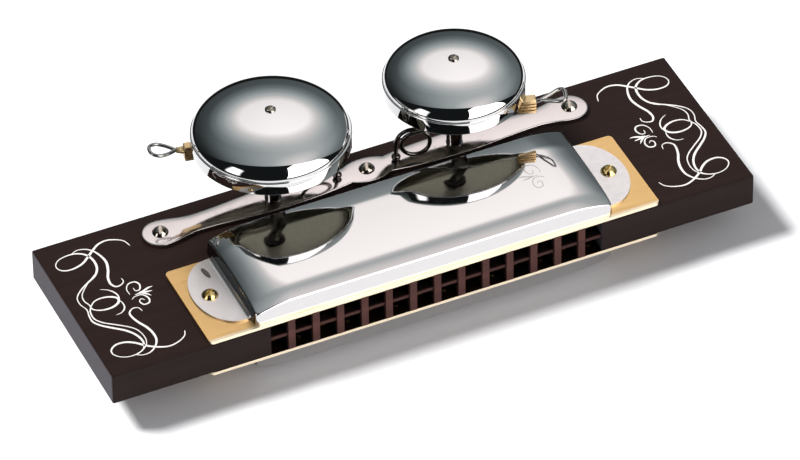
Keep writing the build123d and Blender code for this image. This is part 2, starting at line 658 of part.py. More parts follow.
def striker_anchor(side):
    """The collar riveted in the strap that grips the wire's foot."""
    x = ANCHORS[side]
    collar = rod(x, STRAP_Y, STRAP_TOP, STRAP_TOP + ANCHOR_COLLAR_HEIGHT, ANCHOR_COLLAR_DIAMETER / 2)
    tenon = rod(x, STRAP_Y, COMB_TOP, STRAP_TOP, ANCHOR_TENON_DIAMETER / 2)
    wire = rod(x, STRAP_Y, COMB_TOP, STRAP_TOP + ANCHOR_COLLAR_HEIGHT, WIRE_RADIUS)
    return collar + tenon - wire


# --- all nodes -----------------------------------------------------------------------
def reeds(wants_blow):
    return [reed(column) for column in range(CHAMBER_COLUMNS) if blows(column) == wants_blow]


def nodes():
    """Every named piece of the instrument."""
    rivets = [reed_rivet(column) for column in range(CHAMBER_COLUMNS)]
    upper_row = {
        "reed_plate": [reed_plate()],
        "blow_reeds": reeds(True),
        "draw_reeds": reeds(False),
        "reed_rivets": rivets,
        "plate_nails": upper_nails(),
        "cover_screws": upper_cover_screws(),
    }
    parts = {"comb": [comb()], "chamber_walls": chamber_walls(), "chamber_divider": [chamber_divider()]}
    for name, pieces in upper_row.items():
        parts["upper_" + name] = pieces
        parts["lower_" + name] = [below(piece) for piece in pieces]
    parts["upper_cover"] = [slotted_cover()]
    parts["lower_cover"] = [below(upper_cover())]
    parts["bell_strap"] = [strap()]
    parts["strap_screws"] = strap_screws()
    parts["bell_washers"] = [bell_washer(side) for side in BELLS]
    parts["striker_anchors"] = [striker_anchor(side) for side in BELLS]
    for side in BELLS:
        parts[side + "_bell"] = [bell(side)]
        parts[side + "_bell_post"] = [bell_post(side)]
        parts[side + "_bell_screw"] = [bell_screw(side)]
        parts[side + "_striker_spring"] = [striker_spring(side)]
        parts[side + "_striker_arm"] = [striker_arm(side)]
        parts[side + "_hammer"] = [hammer(side)]
    parts["left_loop_ferrule"] = [loop_ferrule()]
    return parts


os.makedirs("parts", exist_ok=True)
for node, pieces in nodes().items():
    export_step(group(pieces), "parts/" + node + ".step")
    print(node, len(pieces))
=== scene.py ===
# %% [markdown]
# # A mouth organ with two bells
# A wooden comb lies between two brass reed plates, each under a stamped chrome cover. A
# flat strap on the comb's back edge carries two polished bells and two sprung hammers.
# The solids of the instrument are loaded first, and everything that follows is fitted to
# their boxes, so no size is guessed twice.

# %% Load the frame
import bmesh
import bpy
import numpy as np
from mathutils import Matrix, Vector


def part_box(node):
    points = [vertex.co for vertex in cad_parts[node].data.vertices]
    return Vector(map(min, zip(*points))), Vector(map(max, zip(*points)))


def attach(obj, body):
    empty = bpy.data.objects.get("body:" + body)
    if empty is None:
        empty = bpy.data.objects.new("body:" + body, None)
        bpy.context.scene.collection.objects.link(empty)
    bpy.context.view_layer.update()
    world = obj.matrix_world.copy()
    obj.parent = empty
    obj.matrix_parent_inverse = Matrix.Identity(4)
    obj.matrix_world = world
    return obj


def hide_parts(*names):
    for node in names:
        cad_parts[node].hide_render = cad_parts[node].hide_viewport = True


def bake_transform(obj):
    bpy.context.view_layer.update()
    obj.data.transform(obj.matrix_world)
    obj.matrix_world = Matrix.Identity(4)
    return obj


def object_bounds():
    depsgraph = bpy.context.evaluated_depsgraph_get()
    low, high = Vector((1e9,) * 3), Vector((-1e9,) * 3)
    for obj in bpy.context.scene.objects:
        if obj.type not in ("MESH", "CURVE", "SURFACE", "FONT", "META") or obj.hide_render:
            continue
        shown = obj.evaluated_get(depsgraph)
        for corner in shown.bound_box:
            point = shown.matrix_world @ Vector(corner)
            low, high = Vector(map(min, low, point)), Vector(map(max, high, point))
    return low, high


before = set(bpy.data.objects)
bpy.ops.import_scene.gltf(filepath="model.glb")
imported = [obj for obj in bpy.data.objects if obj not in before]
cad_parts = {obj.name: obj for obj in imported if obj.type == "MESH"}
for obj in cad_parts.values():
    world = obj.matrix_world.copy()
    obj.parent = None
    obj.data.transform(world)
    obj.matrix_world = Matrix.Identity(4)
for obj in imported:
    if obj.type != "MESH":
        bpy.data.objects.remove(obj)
cad_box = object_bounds()
MM = 0.001

# %% [markdown]
# ## Reading sizes from the solids
# A maker thinks in millimetres, so the boxes are turned into small named sizes in
# millimetres, and meshes go back to metres.

# %% Boxes in millimetres
def span(node):
    """Lowest and highest corner of a solid, in millimetres."""
    low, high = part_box(node)
    return np.array(low) / MM, np.array(high) / MM


comb_low, comb_high = span("comb")
plate_low, plate_high = span("upper_reed_plate")
cover_low, cover_high = span("upper_cover")
strap_low, strap_high = span("bell_strap")
COMB_TOP, PLATE_TOP, STRAP_TOP = comb_high[2], plate_high[2], strap_high[2]
COMB_MIDDLE = (comb_low[2] + comb_high[2]) / 2
STRAP_Y = (strap_low[1] + strap_high[1]) / 2
print("comb", comb_high - comb_low, "strap at y", round(STRAP_Y, 2))

# %% [markdown]
# ## Turning number grids into meshes
# A surface is a function of two parameters. Sampled on a grid it gives rows and columns of
# points, and each cell of the grid becomes one four-sided face. A direction that runs
# round, such as the turn of a bell, is closed by joining the last column to the first.

# %% Grid faces
def grid_faces(rows, columns, round_rows=False, round_columns=False):
    """Each face joins point (i, j) to its neighbours in the next column and the next row."""
    i, j = np.meshgrid(np.arange(rows if round_rows else rows - 1),
                       np.arange(columns if round_columns else columns - 1), indexing="ij")
    right, down = (j + 1) % columns, (i + 1) % rows
    corners = [i * columns + j, i * columns + right, down * columns + right, down * columns + j]
    return np.stack(corners, -1).reshape(-1, 4)


def surface(points, round_rows=False, round_columns=False):
    """A grid of points as (points, faces), ready to be joined with others in one mesh."""
    rows, columns = points.shape[:2]
    return points.reshape(-1, 3), grid_faces(rows, columns, round_rows, round_columns)


print("a closed 3 by 4 grid has", len(grid_faces(3, 4, round_columns=True)), "faces")

# %% [markdown]
# ### From surfaces to a piece
# A piece may be made of several surfaces, called shells here. They are joined in one mesh,
# and points that lie on each other are merged, which closes poles and seams. Blender then
# turns the faces outwards. One function does all of this, so no piece can miss a step.

# %% Pieces
MERGE_DISTANCE, SLIVER = 2e-6, 1e-7
FINISH = {}


def make_piece(name, shells, finish, body, stands_for=(), crease=38.0):
    """One mesh from shells: a shell's point numbers move up by the points that came before it.
    Edges sharper than `crease` degrees stay sharp."""
    starts = np.cumsum([0] + [len(points) for points, _ in shells])
    points = np.concatenate([points for points, _ in shells]) * MM
    faces = []
    for (_, shell), start in zip(shells, starts):
        faces += (shell + start).tolist()
    mesh = bpy.data.meshes.new(name)
    mesh.from_pydata(points.tolist(), [], faces)
    edit = bmesh.new()
    edit.from_mesh(mesh)
    bmesh.ops.remove_doubles(edit, verts=edit.verts, dist=MERGE_DISTANCE)
    bmesh.ops.dissolve_degenerate(edit, edges=edit.edges, dist=SLIVER)
    bmesh.ops.recalc_face_normals(edit, faces=edit.faces)
    edit.to_mesh(mesh)
    edit.free()
    mesh.shade_smooth()
    mesh.set_sharp_from_angle(angle=np.radians(crease))
    piece = bpy.data.objects.new(name, mesh)
    bpy.context.scene.collection.objects.link(piece)
    mesh.materials.append(FINISH[finish])
    if body:
        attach(piece, body)
    if stands_for:
        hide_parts(*stands_for)
    print(f"{name}: {len(mesh.polygons)} faces")
    return piece


print("points nearer than", MERGE_DISTANCE / MM, "mm become one")

# %% [markdown]
# Some pieces need a second finish on part of their faces, such as the dull inside of a
# bell. Faces are chosen by where their middles lie or which way they look, all at once.

# %% Faces with a second finish
def face_values(piece, what):
    """One row (x, y, z) for each face: its "center" in metres, or its "normal"."""
    rows = np.zeros(len(piece.data.polygons) * 3)
    piece.data.polygons.foreach_get(what, rows)
    return rows.reshape(-1, 3)


def paint_faces(piece, chosen, finish):
    """Gives the faces for which `chosen` is true a second finish."""
    piece.data.materials.append(FINISH[finish])
    piece.data.polygons.foreach_set("material_index", chosen.astype(np.int32))


print("helpers ready: face_values, paint_faces")

# %% [markdown]
# ## The camera
# A long lens from far away keeps the comb's edges almost parallel. The camera could be
# turned by Euler angles; here it is placed by its direction round the instrument, its
# height above the table and a very small roll, because each of these can be judged alone.

# %% Camera
AZIMUTH, ELEVATION, ROLL = np.radians([-23.916, 41.357, -0.9209])
DISTANCE, TARGET = 1971.94, np.array([-1.594, 4.45, 19.0])
SENSOR_WIDTH, FOCAL_LENGTH = 36.0, 328.14
NEAREST, FARTHEST = 0.05, 50.0

toward = np.array([np.sin(AZIMUTH) * np.cos(ELEVATION), -np.cos(AZIMUTH) * np.cos(ELEVATION),
                   np.sin(ELEVATION)])
level_right = np.cross(-toward, [0, 0, 1])
level_right /= np.linalg.norm(level_right)
level_up = np.cross(level_right, -toward)
right = np.cos(ROLL) * level_right + np.sin(ROLL) * level_up
up = np.cos(ROLL) * level_up - np.sin(ROLL) * level_right
place = (TARGET + toward * DISTANCE) * MM
camera_data = bpy.data.cameras.new("camera")
camera_data.sensor_width, camera_data.lens = SENSOR_WIDTH, FOCAL_LENGTH
camera_data.clip_start, camera_data.clip_end = NEAREST, FARTHEST
camera = bpy.data.objects.new("camera", camera_data)
camera.matrix_world = Matrix([[right[i], up[i], toward[i], place[i]] for i in range(3)]
                             + [[0, 0, 0, 1]])
scene = bpy.context.scene
scene.collection.objects.link(camera)
scene.camera = camera
print("camera at", place.round(3))

# %% [markdown]
# ## Small helpers for shader nodes
# Shader arithmetic is clearer when each step is one short call. `op` adds a Math node,
# `facing` measures how far a direction agrees with another, and `between` rises smoothly
# from one value to another as its input crosses a range.

# %% Node helpers for numbers
def plug(tree, socket, value):
    """Sets a socket to a number, or links it to another node's output."""
    if isinstance(value, (int, float)):
        socket.default_value = value
    else:
        tree.links.new(value, socket)


def op(tree, kind, a, b=0.0, c=0.0):
    """One arithmetic step as a Math node."""
    node = tree.nodes.new("ShaderNodeMath")
    node.operation = kind
    for socket, value in zip(node.inputs, (a, b, c)):
        plug(tree, socket, value)
    return node.outputs[0]


def facing(tree, vector, direction):
    """The dot product of a vector and a fixed direction."""
    node = tree.nodes.new("ShaderNodeVectorMath")
    node.operation = "DOT_PRODUCT"
    tree.links.new(vector, node.inputs[0])
    node.inputs[1].default_value = [float(v) for v in direction]
    return node.outputs["Value"]


def between(tree, value, low, high, start=0.0, end=1.0):
    """Start below low, end above high, and a smooth S in between."""
    node = tree.nodes.new("ShaderNodeMapRange")
    node.interpolation_type = "SMOOTHSTEP"
    plug(tree, node.inputs["Value"], value)
    for key, number in (("From Min", low), ("From Max", high), ("To Min", start), ("To Max", end)):
        node.inputs[key].default_value = number
    return node.outputs[0]


print("helpers ready: plug, op, facing, between")

# %% [markdown]
# Colours get helpers of their own: `ramp` turns a number into a colour, and `blended` mixes
# two colours.

# %% Node helpers for colours
def ramp(tree, value, stops):
    """A colour ramp from (place, colour) stops."""
    node = tree.nodes.new("ShaderNodeValToRGB")
    tree.links.new(value, node.inputs[0])
    band = node.color_ramp
    while len(band.elements) < len(stops):
        band.elements.new(0.5)
    for element, (stop, colour) in zip(band.elements, stops):
        element.position = stop
        element.color = (*colour, 1.0)
    return node.outputs[0]


def greys(stops):
    """(place, brightness) stops as colour stops."""
    return [(stop, (value,) * 3) for stop, value in stops]


def blended(tree, share, first, second):
    """A linked colour where share is 0; where it is 1, another, linked or plain."""
    node = tree.nodes.new("ShaderNodeMix")
    node.data_type = "RGBA"
    tree.links.new(share, node.inputs[0])
    tree.links.new(first, node.inputs[6])
    if isinstance(second, tuple):
        node.inputs[7].default_value = (*second, 1.0)
    else:
        tree.links.new(second, node.inputs[7])
    return node.outputs[2]


print("helpers ready: ramp, greys, blended")

# %% [markdown]
# Whole shaders are mixed in the same way, and the simplest shader is a plain light.

# %% Node helpers for shaders
def mixed(tree, share, first, second):
    """First shader where share is 0, second where it is 1."""
    node = tree.nodes.new("ShaderNodeMixShader")
    tree.links.new(share, node.inputs[0])
    tree.links.new(first, node.inputs[1])
    tree.links.new(second, node.inputs[2])
    return node.outputs[0]


def plain_light(tree, strength, tint, kind="ShaderNodeBackground"):
    """A shader that shines evenly: strength times tint."""
    node = tree.nodes.new(kind)
    node.inputs["Color"].default_value = (*tint, 1.0)
    plug(tree, node.inputs["Strength"], strength)
    return node.outputs[0]


print("helpers ready: mixed, plain_light")

# %% [markdown]
# ## Studio light
# Polished metal shows its surroundings more than itself, so the studio is made as a world
# that has a brightness for every direction. A broad diffuser hangs overhead. It brightens
# with height and towards the right, lamps glow through it straight behind the instrument
# and at the right, and it ends in a sharp edge towards the viewer, past which the room is
# dark. In that dark stand a soft box at the right and a narrow window at the left. Lamps
# on stands would do the same, but each would have to be placed in space, while a mirror
# only needs directions.

# %% Directions in the studio
AWAY = np.array([0.405, 0.914, 0.0])
ACROSS = np.array([0.914, -0.405, 0.0])
UP = np.array([0.0, 0.0, 1.0])
WHITE = (1.0, 1.0, 1.0)


def aimed(azimuth, elevation):
    """A direction from its angle off straight ahead, to the right, and its height, in degrees."""
    a, e = np.radians([azimuth, elevation])
    return np.cos(e) * (np.sin(a) * ACROSS + np.cos(a) * AWAY) + np.sin(e) * UP


# the diffuser: brightness by height (sine of elevation), then lighter towards the right
DIFFUSER = [(0, 0.09), (0.3, 0.12), (0.5, 0.18), (0.72, 0.31), (0.88, 0.46), (1, 0.55)]
RIGHT_SHARE, DARK = 0.95, 0.012
# its front edge: how the edge leans, where it lies and how soft it is
EDGE_LEAN, EDGE_AT, EDGE_SOFT = 0.546, 0.25, 0.010
# lamps behind the diffuser: where they point from, and brightness by angle off that
GLOW = aimed(1, 46), [(0, 1.12), (13, 1.06), (17.5, 0.55), (22, 0.28), (27, 0.10), (34, 0)]
SPILL = aimed(118, 63), [(0, 0.42), (9, 0.30), (24, 0)]
# panels: corners in order round the panel, softness of the edge outside and inside, power
SOFT_BOX = [aimed(161, -6), aimed(148, 61), aimed(126, 66), aimed(99, 66), aimed(99, -6)]
WINDOW = [aimed(-138, 2), aimed(-136, 42), aimed(-119, 42), aimed(-119, 2)]
SOFT_BOX_EDGE, SOFT_BOX_POWER = (-0.004, 0.010), 3.6
WINDOW_EDGE, WINDOW_POWER = (-0.05, 0.06), 3.2
print("the soft box has", len(SOFT_BOX), "corners, the window", len(WINDOW))

# %% [markdown]
# ### Brightness in every direction
# A glow depends only on the angle off its middle. A panel is the inside of a pyramid whose
# tip is the mirror: a direction lies in it when it is on the inner side of each of the
# pyramid's walls, and the product of all those yes-or-no answers says so.

# %% Brightness of the studio
def glowing(tree, direction, middle, stops):
    """Brightness by the angle between a direction and the glow's middle."""
    widest = stops[-1][0]
    most = max(value for _, value in stops)
    angle = op(tree, "ARCCOSINE", facing(tree, direction, middle))
    share = op(tree, "DIVIDE", angle, float(np.radians(widest)))
    level = ramp(tree, share, greys([(a / widest, value / most) for a, value in stops]))
    return op(tree, "MULTIPLY", level, most)


def inside_panel(tree, direction, corners, low, high):
    """1 on the inner side of every plane through two neighbouring corners and the eye."""
    inside = 1.0
    for a, b in zip(corners, corners[1:] + corners[:1]):
        wall = np.cross(b, a) / np.linalg.norm(np.cross(b, a))
        if wall @ np.mean(corners, 0) < 0:
            wall = -wall
        inner_side = between(tree, facing(tree, direction, wall), low, high)
        inside = op(tree, "MULTIPLY", inside, inner_side)
    return inside


def studio_brightness(tree, direction):
    """(height x (1 + share x rightwards) + glows) x edge + dark; the panels where brighter."""
    height = ramp(tree, facing(tree, direction, UP), greys(DIFFUSER))
    side = op(tree, "MULTIPLY_ADD", facing(tree, direction, ACROSS), RIGHT_SHARE, 1.0)
    light = op(tree, "MULTIPLY", height, side)
    for middle, stops in (GLOW, SPILL):
        light = op(tree, "ADD", light, glowing(tree, direction, middle, stops))
    front = op(tree, "SUBTRACT", facing(tree, direction, AWAY + EDGE_LEAN * UP), EDGE_AT)
    edge = between(tree, front, -EDGE_SOFT, EDGE_SOFT)
    light = op(tree, "MULTIPLY_ADD", light, edge, DARK)
    box = op(tree, "MULTIPLY", inside_panel(tree, direction, SOFT_BOX, *SOFT_BOX_EDGE),
             op(tree, "SUBTRACT", 1.0, edge))
    light = op(tree, "MAXIMUM", light, op(tree, "MULTIPLY", box, SOFT_BOX_POWER))
    window = inside_panel(tree, direction, WINDOW, *WINDOW_EDGE)
    return op(tree, "MAXIMUM", light, op(tree, "MULTIPLY", window, WINDOW_POWER))


print("brightest things: box", SOFT_BOX_POWER, "window", WINDOW_POWER, "glow", GLOW[1][0][1])

# %% [markdown]
# ### The world
# Only reflections see the studio. Matt surfaces get an even sky, which keeps wood and paper
# free of noise, and the camera sees a pale backdrop. The studio's dark parts are tinted a
# little towards green and its bright parts a little towards red, so grey chrome shows the
# faint colours that real chrome does.

# %% World
SKY, SKY_TINT = 0.24, (0.94, 0.98, 1.05)
BACKDROP, BACKDROP_TINT = 0.97, (0.97, 0.97, 0.98)
STUDIO_TINT = [(0.1, (0.84, 1.0, 1.04)), (0.55, (0.92, 1.0, 1.01)), (0.95, (1.0, 0.955, 0.95))]

world = bpy.data.worlds.new("studio")
scene.world = world
world.use_nodes = True
sky = world.node_tree
sky.nodes.clear()
direction = sky.nodes.new("ShaderNodeTexCoord").outputs["Generated"]
rays = sky.nodes.new("ShaderNodeLightPath").outputs
brightness = studio_brightness(sky, direction)
studio = plain_light(sky, brightness, WHITE)
sky.links.new(ramp(sky, brightness, STUDIO_TINT), studio.node.inputs["Color"])
lit = mixed(sky, rays["Is Diffuse Ray"], studio, plain_light(sky, SKY, SKY_TINT))
seen = mixed(sky, rays["Is Camera Ray"], lit, plain_light(sky, BACKDROP, BACKDROP_TINT))
sky.links.new(seen, sky.nodes.new("ShaderNodeOutputWorld").inputs[0])
scene.view_settings.view_transform = "Standard"
print("studio world:", len(sky.nodes), "nodes")

# %% [markdown]
# ### Key light
# One far lamp with a wide disc gives matt surfaces a lit side and a soft shadow on the
# floor. An area lamp would do so too, but its light fades with distance along the comb. In
# a mirror the lamp would be one more bright spot, so reflections don't see it.

# %% Key light
KEY_TOWARD, KEY_POWER, KEY_WIDTH = aimed(-80, 55), 5.2, 16

key_data = bpy.data.lights.new("key", "SUN")
key_data.energy, key_data.angle = KEY_POWER, np.radians(KEY_WIDTH)
key = bpy.data.objects.new("key", key_data)
key.rotation_mode = "QUATERNION"
key.rotation_quaternion = Vector(KEY_TOWARD).to_track_quat("Z", "Y")
key.visible_glossy = False
scene.collection.objects.link(key)
print("key light: power", KEY_POWER, "disc", KEY_WIDTH, "degrees wide")

# %% [markdown]
# ## Finishes
# Every finish is one Principled shader whose plain numbers sit on its own sockets. Noise
# on Object coordinates, which are the same in every view because no piece is moved, adds
# what makes the finish real: fine scratches, brushing, grain or tarnish. Painted images
# could do that as well, but noise has no seams and needs no files.

# %% A new finish
def new_finish(name, colour, metal, roughness, **plain):
    """A Principled shader with plain numbers, and the Object coordinates for its pattern."""
    FINISH[name] = bpy.data.materials.new(name)
    FINISH[name].use_nodes = True
    tree = FINISH[name].node_tree
    shader = tree.nodes["Principled BSDF"]
    shader.inputs["Base Color"].default_value = (*colour, 1.0)
    shader.inputs["Metallic"].default_value = metal
    shader.inputs["Roughness"].default_value = roughness
    for key, value in plain.items():
        shader.inputs[key.replace("_", " ")].default_value = value
    return tree, shader, tree.nodes.new("ShaderNodeTexCoord").outputs["Object"]


print("helper ready: new_finish")

# %% [markdown]
# A pattern is noise, stretched or not. It may change a colour, a roughness, or the way a
# surface seems to lean, which is called a bump.

# %% Pattern helpers
def stretched(tree, coords, scale):
    """Coordinates scaled per axis, so noise turns into streaks along the axis scaled least."""
    node = tree.nodes.new("ShaderNodeMapping")
    node.inputs["Scale"].default_value = scale
    tree.links.new(coords, node.inputs["Vector"])
    return node.outputs[0]


def speckle(tree, coords, scale, detail=3.0, rough=0.5):
    """Soft noise between 0 and 1; scale is in grains per metre."""
    node = tree.nodes.new("ShaderNodeTexNoise")
    node.inputs["Scale"].default_value = scale
    node.inputs["Detail"].default_value = detail
    node.inputs["Roughness"].default_value = rough
    tree.links.new(coords, node.inputs["Vector"])
    return node.outputs[0]


def raised(tree, shader, height, distance, strength=1.0):
    """Bends the surface's normal as if height times distance metres stood on it."""
    node = tree.nodes.new("ShaderNodeBump")
    node.inputs["Distance"].default_value = distance
    node.inputs["Strength"].default_value = strength
    tree.links.new(height, node.inputs["Height"])
    tree.links.new(node.outputs[0], shader.inputs["Normal"])


def object_axes(tree):
    """The outputs X, Y and Z of a point's Object coordinates, in metres."""
    node = tree.nodes.new("ShaderNodeSeparateXYZ")
    tree.links.new(tree.nodes.new("ShaderNodeTexCoord").outputs["Object"], node.inputs[0])
    return node.outputs


print("helpers ready: stretched, speckle, raised, object_axes")

# %% [markdown]
# ### Paper floor
# The instrument stands on pale matt paper, large enough to reach the horizon. Low parts of
# polished metal would mirror it as one big white field. A small sheet of paper would avoid
# that, but show its edge to the camera. So mirrored rays see the paper only close to the
# instrument and meet the dark of the room further out.

# %% Floor
FLOOR_HALF = 12.0
PAPER_COLOUR, PAPER_ROUGHNESS = (0.8, 0.8, 0.805), 0.9
MIRRORED_TO = 0.15, 0.22

tree, shader, coords = new_finish("pale_paper", PAPER_COLOUR, 0.0, PAPER_ROUGHNESS,
                                  Specular_IOR_Level=0.0)
far = tree.nodes.new("ShaderNodeVectorMath")
far.operation = "LENGTH"
tree.links.new(coords, far.inputs[0])
mirrored = op(tree, "MULTIPLY", between(tree, far.outputs["Value"], *MIRRORED_TO),
              tree.nodes.new("ShaderNodeLightPath").outputs["Is Glossy Ray"])
dark_room = plain_light(tree, DARK, WHITE, "ShaderNodeEmission")
tree.links.new(mixed(tree, mirrored, shader.outputs[0], dark_room),
               tree.nodes["Material Output"].inputs["Surface"])

corners = [(x * FLOOR_HALF, y * FLOOR_HALF, cad_box[0][2])
           for x, y in ((-1, -1), (1, -1), (1, 1), (-1, 1))]
floor_mesh = bpy.data.meshes.new("floor")
floor_mesh.from_pydata(corners, [], [(0, 1, 2, 3)])
floor_mesh.materials.append(FINISH["pale_paper"])
floor = bpy.data.objects.new("floor", floor_mesh)
scene.collection.objects.link(floor)
print("floor at z", cad_box[0][2])

# %% [markdown]
# ### Polished metals
# Chrome and nickel are mirrors with a trace of haze. Polishing never leaves that haze even, so a
# soft cloud of noise moves the roughness between two values. The screws, the wires and the ears are
# rubbed dull by hands and drivers and get rougher limits. The covers' steep end walls read as dark
# bands; those faces get painted shade, a much darker chrome of their own.

# %% Polished metals
# noise detail and roughness of the cloud, and the noise values that it reaches between
CLOUD, CLOUD_RANGE = (4.0, 0.6), (0.35, 0.7)
# colour, lowest and highest roughness, fineness of the cloud in grains per metre
MIRRORS = {
    "bell_chrome": ((0.62, 0.62, 0.62), 0.012, 0.035, 260),
    "cover_chrome": ((0.61, 0.60, 0.60), 0.030, 0.060, 300),
    "ear_chrome": ((0.80, 0.77, 0.77), 0.36, 0.42, 900),
    # painted shade: the same chrome, much darker, for the covers' end walls
    "wall_chrome_painted_shade": ((0.13, 0.135, 0.14), 0.14, 0.20, 900),
    "pressed_line": ((0.40, 0.39, 0.39), 0.22, 0.34, 900),
    "strap_nickel": ((0.58, 0.54, 0.53), 0.07, 0.16, 500),
    "screw_nickel": ((0.46, 0.41, 0.35), 0.09, 0.18, 900),
    "screw_brass": ((0.76, 0.56, 0.24), 0.10, 0.24, 900),
    "post_steel": ((0.40, 0.39, 0.39), 0.06, 0.14, 700),
    "loop_steel": ((0.34, 0.34, 0.33), 0.10, 0.22, 1500),
    "spring_steel": ((0.145, 0.135, 0.125), 0.14, 0.28, 1500),
}


def polished(name, colour, smooth_low, smooth_high, grain):
    """Roughness follows a cloud of noise from its low to its high value."""
    tree, shader, coords = new_finish(name, colour, 1.0, smooth_low)
    cloud = speckle(tree, coords, grain, *CLOUD)
    tree.links.new(between(tree, cloud, *CLOUD_RANGE, smooth_low, smooth_high),
                   shader.inputs["Roughness"])


for name, numbers in MIRRORS.items():
    polished(name, *numbers)
print(len(MIRRORS), "polished metals")

# %% [markdown]
# ### Satin metals
# Rolled brass sheet, filed reeds and castings are satin. Their fine streaks change the
# roughness and, very slightly, the colour. The streaks run along the axis on which the
# noise is scaled least: x on the plates, y on the reeds, which lie across them, round the
# inside of the bells, and none in particular on the cast hammers. The fibre washers under
# the bells are plain and dull.

# %% Satin metals
# noise detail and roughness of the streaks, and the noise values of both tones and roughnesses
STREAKS, STREAK_TONES, STREAK_RANGE, STREAK_BUMP = (3.0, 0.6), (0.3, 0.65), (0.3, 0.7), 0.3
# light and dark tone, lowest and highest roughness, streaks per metre in x, y and z, depth
BRUSHED = {
    "inner_chrome": ((0.23, 0.22, 0.17), (0.17, 0.165, 0.125), 0.30, 0.45,
                     (400, 400, 3000), 2e-6),
    "plate_brass": ((0.86, 0.57, 0.25), (0.80, 0.52, 0.22), 0.34, 0.50, (60, 2500, 2500), 3e-6),
    "reed_brass": ((0.72, 0.52, 0.24), (0.60, 0.42, 0.18), 0.30, 0.45, (2500, 120, 2500), 3e-6),
    "hammer_brass": ((0.66, 0.50, 0.28), (0.54, 0.39, 0.20), 0.26, 0.38,
                     (700, 700, 700), 1.5e-6),
}


def satin(name, light, dark, smooth_low, smooth_high, streaks, depth):
    """Colour, roughness and a faint bump all follow the same streaks of noise."""
    tree, shader, coords = new_finish(name, light, 1.0, smooth_low)
    lines = speckle(tree, stretched(tree, coords, streaks), 1.0, *STREAKS)
    tones = ramp(tree, lines, list(zip(STREAK_TONES, (dark, light))))
    tree.links.new(tones, shader.inputs["Base Color"])
    tree.links.new(between(tree, lines, *STREAK_RANGE, smooth_low, smooth_high),
                   shader.inputs["Roughness"])
    raised(tree, shader, lines, depth, STREAK_BUMP)


for name, numbers in BRUSHED.items():
    satin(name, *numbers)
FIBRE_COLOUR, FIBRE_ROUGHNESS, FIBRES_A_METRE, FIBRE_DEPTH = (0.05, 0.04, 0.04), 0.85, 4000, 2e-5
tree, shader, coords = new_finish("washer_fibre", FIBRE_COLOUR, 0.0, FIBRE_ROUGHNESS)
raised(tree, shader, speckle(tree, coords, FIBRES_A_METRE), FIBRE_DEPTH)
print(len(BRUSHED), "satin metals and a fibre")

# %% [markdown]
# ### Reed plates with a painted highlight and painted shade
# The front edge of a reed plate gets a painted highlight, a paler brass. Its face inside the
# chambers gets painted shade, a dark brown. One could paint this by hand. But both follow from
# where a point lies, so the plate's colour is mixed by Object coordinates: y for the edge, height
# for the inside.

# %% Reed plates: painted highlight and painted shade
# paler brass on the front edge is a painted highlight; dark brown inside the chambers is painted
# shade
PAINTED_HIGHLIGHT_BRASS, PAINTED_SHADE_BRASS = (0.93, 0.80, 0.60), (0.05, 0.028, 0.015)
# painted highlight up to the first distance from the front edge, then fading until the second
HIGHLIGHT_TO, HIGHLIGHT_GONE = 0.5, 1.3
# painted shade up to the first height over the plate's inner face, then fading until the second
SHADE_TO, SHADE_GONE = 4e-5, 1.4e-4

tree = FINISH["plate_brass"].node_tree
base = tree.nodes["Principled BSDF"].inputs["Base Color"]
axes = object_axes(tree)
# the front share carries the painted highlight, the inner share the painted shade
front = between(tree, axes["Y"], (plate_low[1] + HIGHLIGHT_GONE) * MM, (plate_low[1] + HIGHLIGHT_TO) * MM,
                1.0, 0.0)
from_middle = op(tree, "ABSOLUTE", op(tree, "SUBTRACT", axes["Z"], COMB_MIDDLE * MM))
inner = (COMB_TOP - COMB_MIDDLE) * MM
plate_painted_shade = between(tree, from_middle, inner + SHADE_TO, inner + SHADE_GONE, 1.0, 0.0)
ink_wear_and_edge_highlight = blended(tree, op(tree, "SUBTRACT", 1.0, front), base.links[0].from_socket, PAINTED_HIGHLIGHT_BRASS)
tree.links.new(blended(tree, plate_painted_shade, ink_wear_and_edge_highlight, PAINTED_SHADE_BRASS), base)
print("plates: pale to", HIGHLIGHT_GONE, "mm from the front edge")

# %% [markdown]
# ### Stained wood
# The comb is a hardwood stained almost black. Long stretched noise gives the grain along the board,
# and short pores sit in it as a faint bump; a ring pattern would suit a pale board, but under this
# stain no rings show. The board's ends, where the fibres are cut across, get a painted sheen, a
# paler grey over darker end-grain pores, and the surface's own normal picks them out.

# %% Wood finishes
WOOD_GLOSS = 0.10
# noise per metre in x, y and z, and its detail and roughness
GRAIN, GRAIN_DETAIL = (14, 260, 260), (6.0, 0.62)
PORES, PORE_DETAIL = (150, 1900, 1900), (3.0, 0.7)
PORE_SHARE, WOOD_TONES, PORE_RANGE = 0.35, (0.35, 0.68), (0.3, 0.7)
SMOOTHER, ROUGHER = 0.06, 0.08
# a face gets the painted end sheen when it looks along x at least so much; how dark its pores get
END_SHEEN_FROM, END_SHEEN_DARKEST = (0.6, 0.95), 0.7
WOOD_RELIEF, WOOD_BUMP = 4e-5, 0.35


